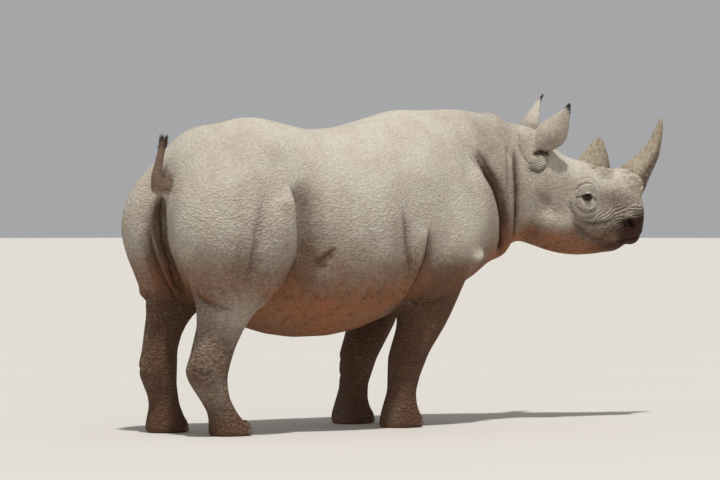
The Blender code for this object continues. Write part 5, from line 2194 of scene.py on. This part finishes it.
@dataclass
class Hair:
    """The fringes of the ears, the tuft of the tail and the eyelashes."""

    grove: Grove
    material: Material
    patch: float = 0.003
    fringe: float = 0.014
    switch: float = 0.034
    switch_steps: int = 60
    lash: float = 0.014

    def plant(self, name: str, points: Mesh, copy: Thing, seed: int) -> Thing:
        """Plants one piece of hair, of which each copy gets its patch of the map."""
        return self.grove.plant(name, points, copy, self.material, Size=1.0, Patch=self.patch, Seed=seed)

    def fringes(self) -> Thing:
        """Black hair round the tips of the ears.

        Returns:
            The piece, in the frame.
        """
        rows = []
        for number, ear in enumerate(EARS):
            for front in (True, False):
                lowest = 0.72 if front else 0.86
                for reach in np.linspace(lowest, 0.995, 46 if front else 26):
                    spot, lie = ear.rim(float(reach), front)
                    ends = BEND.to_frame(np.array([spot, spot + lie * 0.01]))
                    way = unit(ends[1] - ends[0])
                    size = 0.45 + 0.55 * float(ease(lowest, 0.95, np.array(reach)))
                    spot = (0.1 + 0.4 * number + 0.2 * front, 0.1 + 0.8 * reach)
                    rows.append((ends[0] - way * 0.003, way, size, spot))
        copy = tuft("fringe_tuft", 6, self.fringe, 0.35, 0.0009, 3)
        return self.plant("ear_fringes", point_mesh("fringe_points", rows), copy, 2)

    def tail_tuft(self) -> Thing:
        """The short dark tuft at the end of the tail.

        Returns:
            The piece, in the frame.
        """
        rows = []
        for step in range(self.switch_steps):
            share = step / (self.switch_steps - 1)
            up = 1.405 + 0.05 * share
            angle = step * GOLDEN_ANGLE
            out = np.array([math.cos(angle), math.sin(angle), 0.0])
            centre = np.array([-0.78 + 0.012 * share, 0.0, up])
            lie = unit(out * 0.45 + np.array([0.1, 0.0, 1.0]))
            spot = BEND.to_frame((centre + out * (0.017 - 0.006 * share))[None])[0]
            patch = (0.1 + 0.8 * (angle / FULL_TURN % 1.0), 0.1 + 0.8 * share)
            rows.append((spot, lie, 0.65 + 0.35 * share, patch))
        copy = tuft("tail_hairs", 6, self.switch, 0.2, 0.0011, 5)
        return self.plant("tail_tuft", point_mesh("tail_points", rows), copy, 4)

    def eyelashes(self) -> Thing:
        """Short lashes along the upper lids.

        Returns:
            The piece, in the frame.
        """
        axes = eye_axes()
        rows = []
        for number, side in enumerate((-1.0, 1.0)):
            for ahead in np.linspace(-0.017, 0.018, 22):
                top = float(lid_edges(np.array(ahead))[0]) + 0.001
                out = math.sqrt(max(0.0, 0.027**2 - ahead**2 - top**2))
                spot = axes.T @ np.array([ahead, top, out])
                lie = axes.T @ np.array([ahead * 12.0, -0.25, 1.0])
                spot[1] *= -side
                lie[1] *= -side
                centre = np.array([EYE[0], side * abs(EYE[1]), EYE[2]]) + spot
                ends = BEND.to_frame(np.array([centre, centre + lie * 0.01]))
                way = unit(ends[1] - ends[0])
                patch = (0.2 + 0.4 * number, 0.5 + 8.0 * float(ahead))
                rows.append((ends[0] - way * 0.002, way, 1.0, patch))
        copy = tuft("lash", 2, self.lash, 0.25, 0.0005, 7)
        return self.plant("eyelashes", point_mesh("lash_points", rows), copy, 6)


# --- studio --------------------------------------------------------------------------------------
@dataclass
class Studio:
    """Pale floor, soft lights and the camera."""

    lens: float = 196.08
    camera: Point = (-12.5493, -15.7602, 1.28)
    azimuth: float = math.radians(38.0)
    dip: float = 0.016575
    floor: float = 60.0
    sunward: Point = (-0.14, -0.23, 0.96)

    def lay_floor(self, finish: FloorFinish) -> Thing:
        """Lays the floor.

        Args:
            finish: Its finish.

        Returns:
            The floor.
        """
        disc = bmesh.new()
        bmesh.ops.create_circle(disc, cap_ends=True, segments=96, radius=self.floor)
        made = new_object("floor", mesh_from(disc, "floor"))
        dress(made, finish.make())
        return made

    def light(self, name: str, place: Point, size: float, power: float, colour: Colour) -> None:
        """Hangs a soft lamp that looks at the middle of the animal.

        Args:
            name: Name of the lamp.
            place: Where it hangs.
            size: Side of the lamp.
            power: Watts.
            colour: Its colour.
        """
        lamp = bpy.data.lights.new(name, "AREA")
        lamp.shape, lamp.size, lamp.energy, lamp.color = "DISK", size, power, colour[:3]
        made = new_object(name, lamp)
        aim = Vector((0.0, 0.0, 0.9)) - Vector(place)
        made.matrix_world = Matrix.Translation(place) @ turned(aim, "-Z")

    def place_camera(self) -> None:
        """Sets up the camera."""
        lens = bpy.data.cameras.new("camera")
        lens.lens, lens.sensor_width, lens.clip_end = self.lens, 36.0, 200.0
        made = new_object("camera", lens)
        level = math.cos(self.dip)
        aim = Vector((math.sin(self.azimuth) * level, math.cos(self.azimuth) * level, -math.sin(self.dip)))
        made.matrix_world = Matrix.Translation(self.camera) @ turned(aim, "-Z")
        bpy.context.scene.camera = made

    def set_up(self, finish: FloorFinish) -> None:
        """Builds the whole studio."""
        self.lay_floor(finish)
        sun = bpy.data.lights.new("key", "SUN")
        sun.energy, sun.angle, sun.color = 2.9, math.radians(3.0), (1.0, 0.985, 0.965)
        new_object("key", sun).matrix_world = turned(Vector(self.sunward), "Z")
        self.light("fill", (-6.0, -10.0, 4.5), 5.0, 90.0, (0.97, 0.98, 1.0, 1.0))
        world = bpy.data.worlds.new("studio")
        world.use_nodes = True
        sky = next(node for node in world.node_tree.nodes if node.type == "BACKGROUND")
        sky.inputs["Color"].default_value = (0.88, 0.9, 0.92, 1.0)
        sky.inputs["Strength"].default_value = 0.425
        bpy.context.scene.world = world
        bpy.context.scene.view_settings.view_transform = "Standard"
        self.place_camera()


def main() -> None:
    """Builds every piece and the studio."""
    logging.basicConfig(level=logging.INFO, format="%(name)s: %(message)s")
    hair = HairFinish().make()
    horn = HornFinish().make()
    eye = EyeFinish().make()
    Hide().make(HideFinish())
    for piece in HORNS:
        piece.make(horn)
    for side, node in ((1.0, "eye_left"), (-1.0, "eye_right")):
        Eye(node, side).make(eye)
    Toenails().make(Grove("plant_nails", Growth.NAIL), NailFinish().make())
    grove = Grove("plant_hair", Growth.HAIR)
    Hair(grove, hair).fringes()
    Hair(grove, HairFinish("tail_hair", tone(40, 30, 25), tone(88, 66, 50)).make()).tail_tuft()
    Hair(grove, hair).eyelashes()
    Studio().set_up(FloorFinish())


if __name__ == "__main__":
    main()
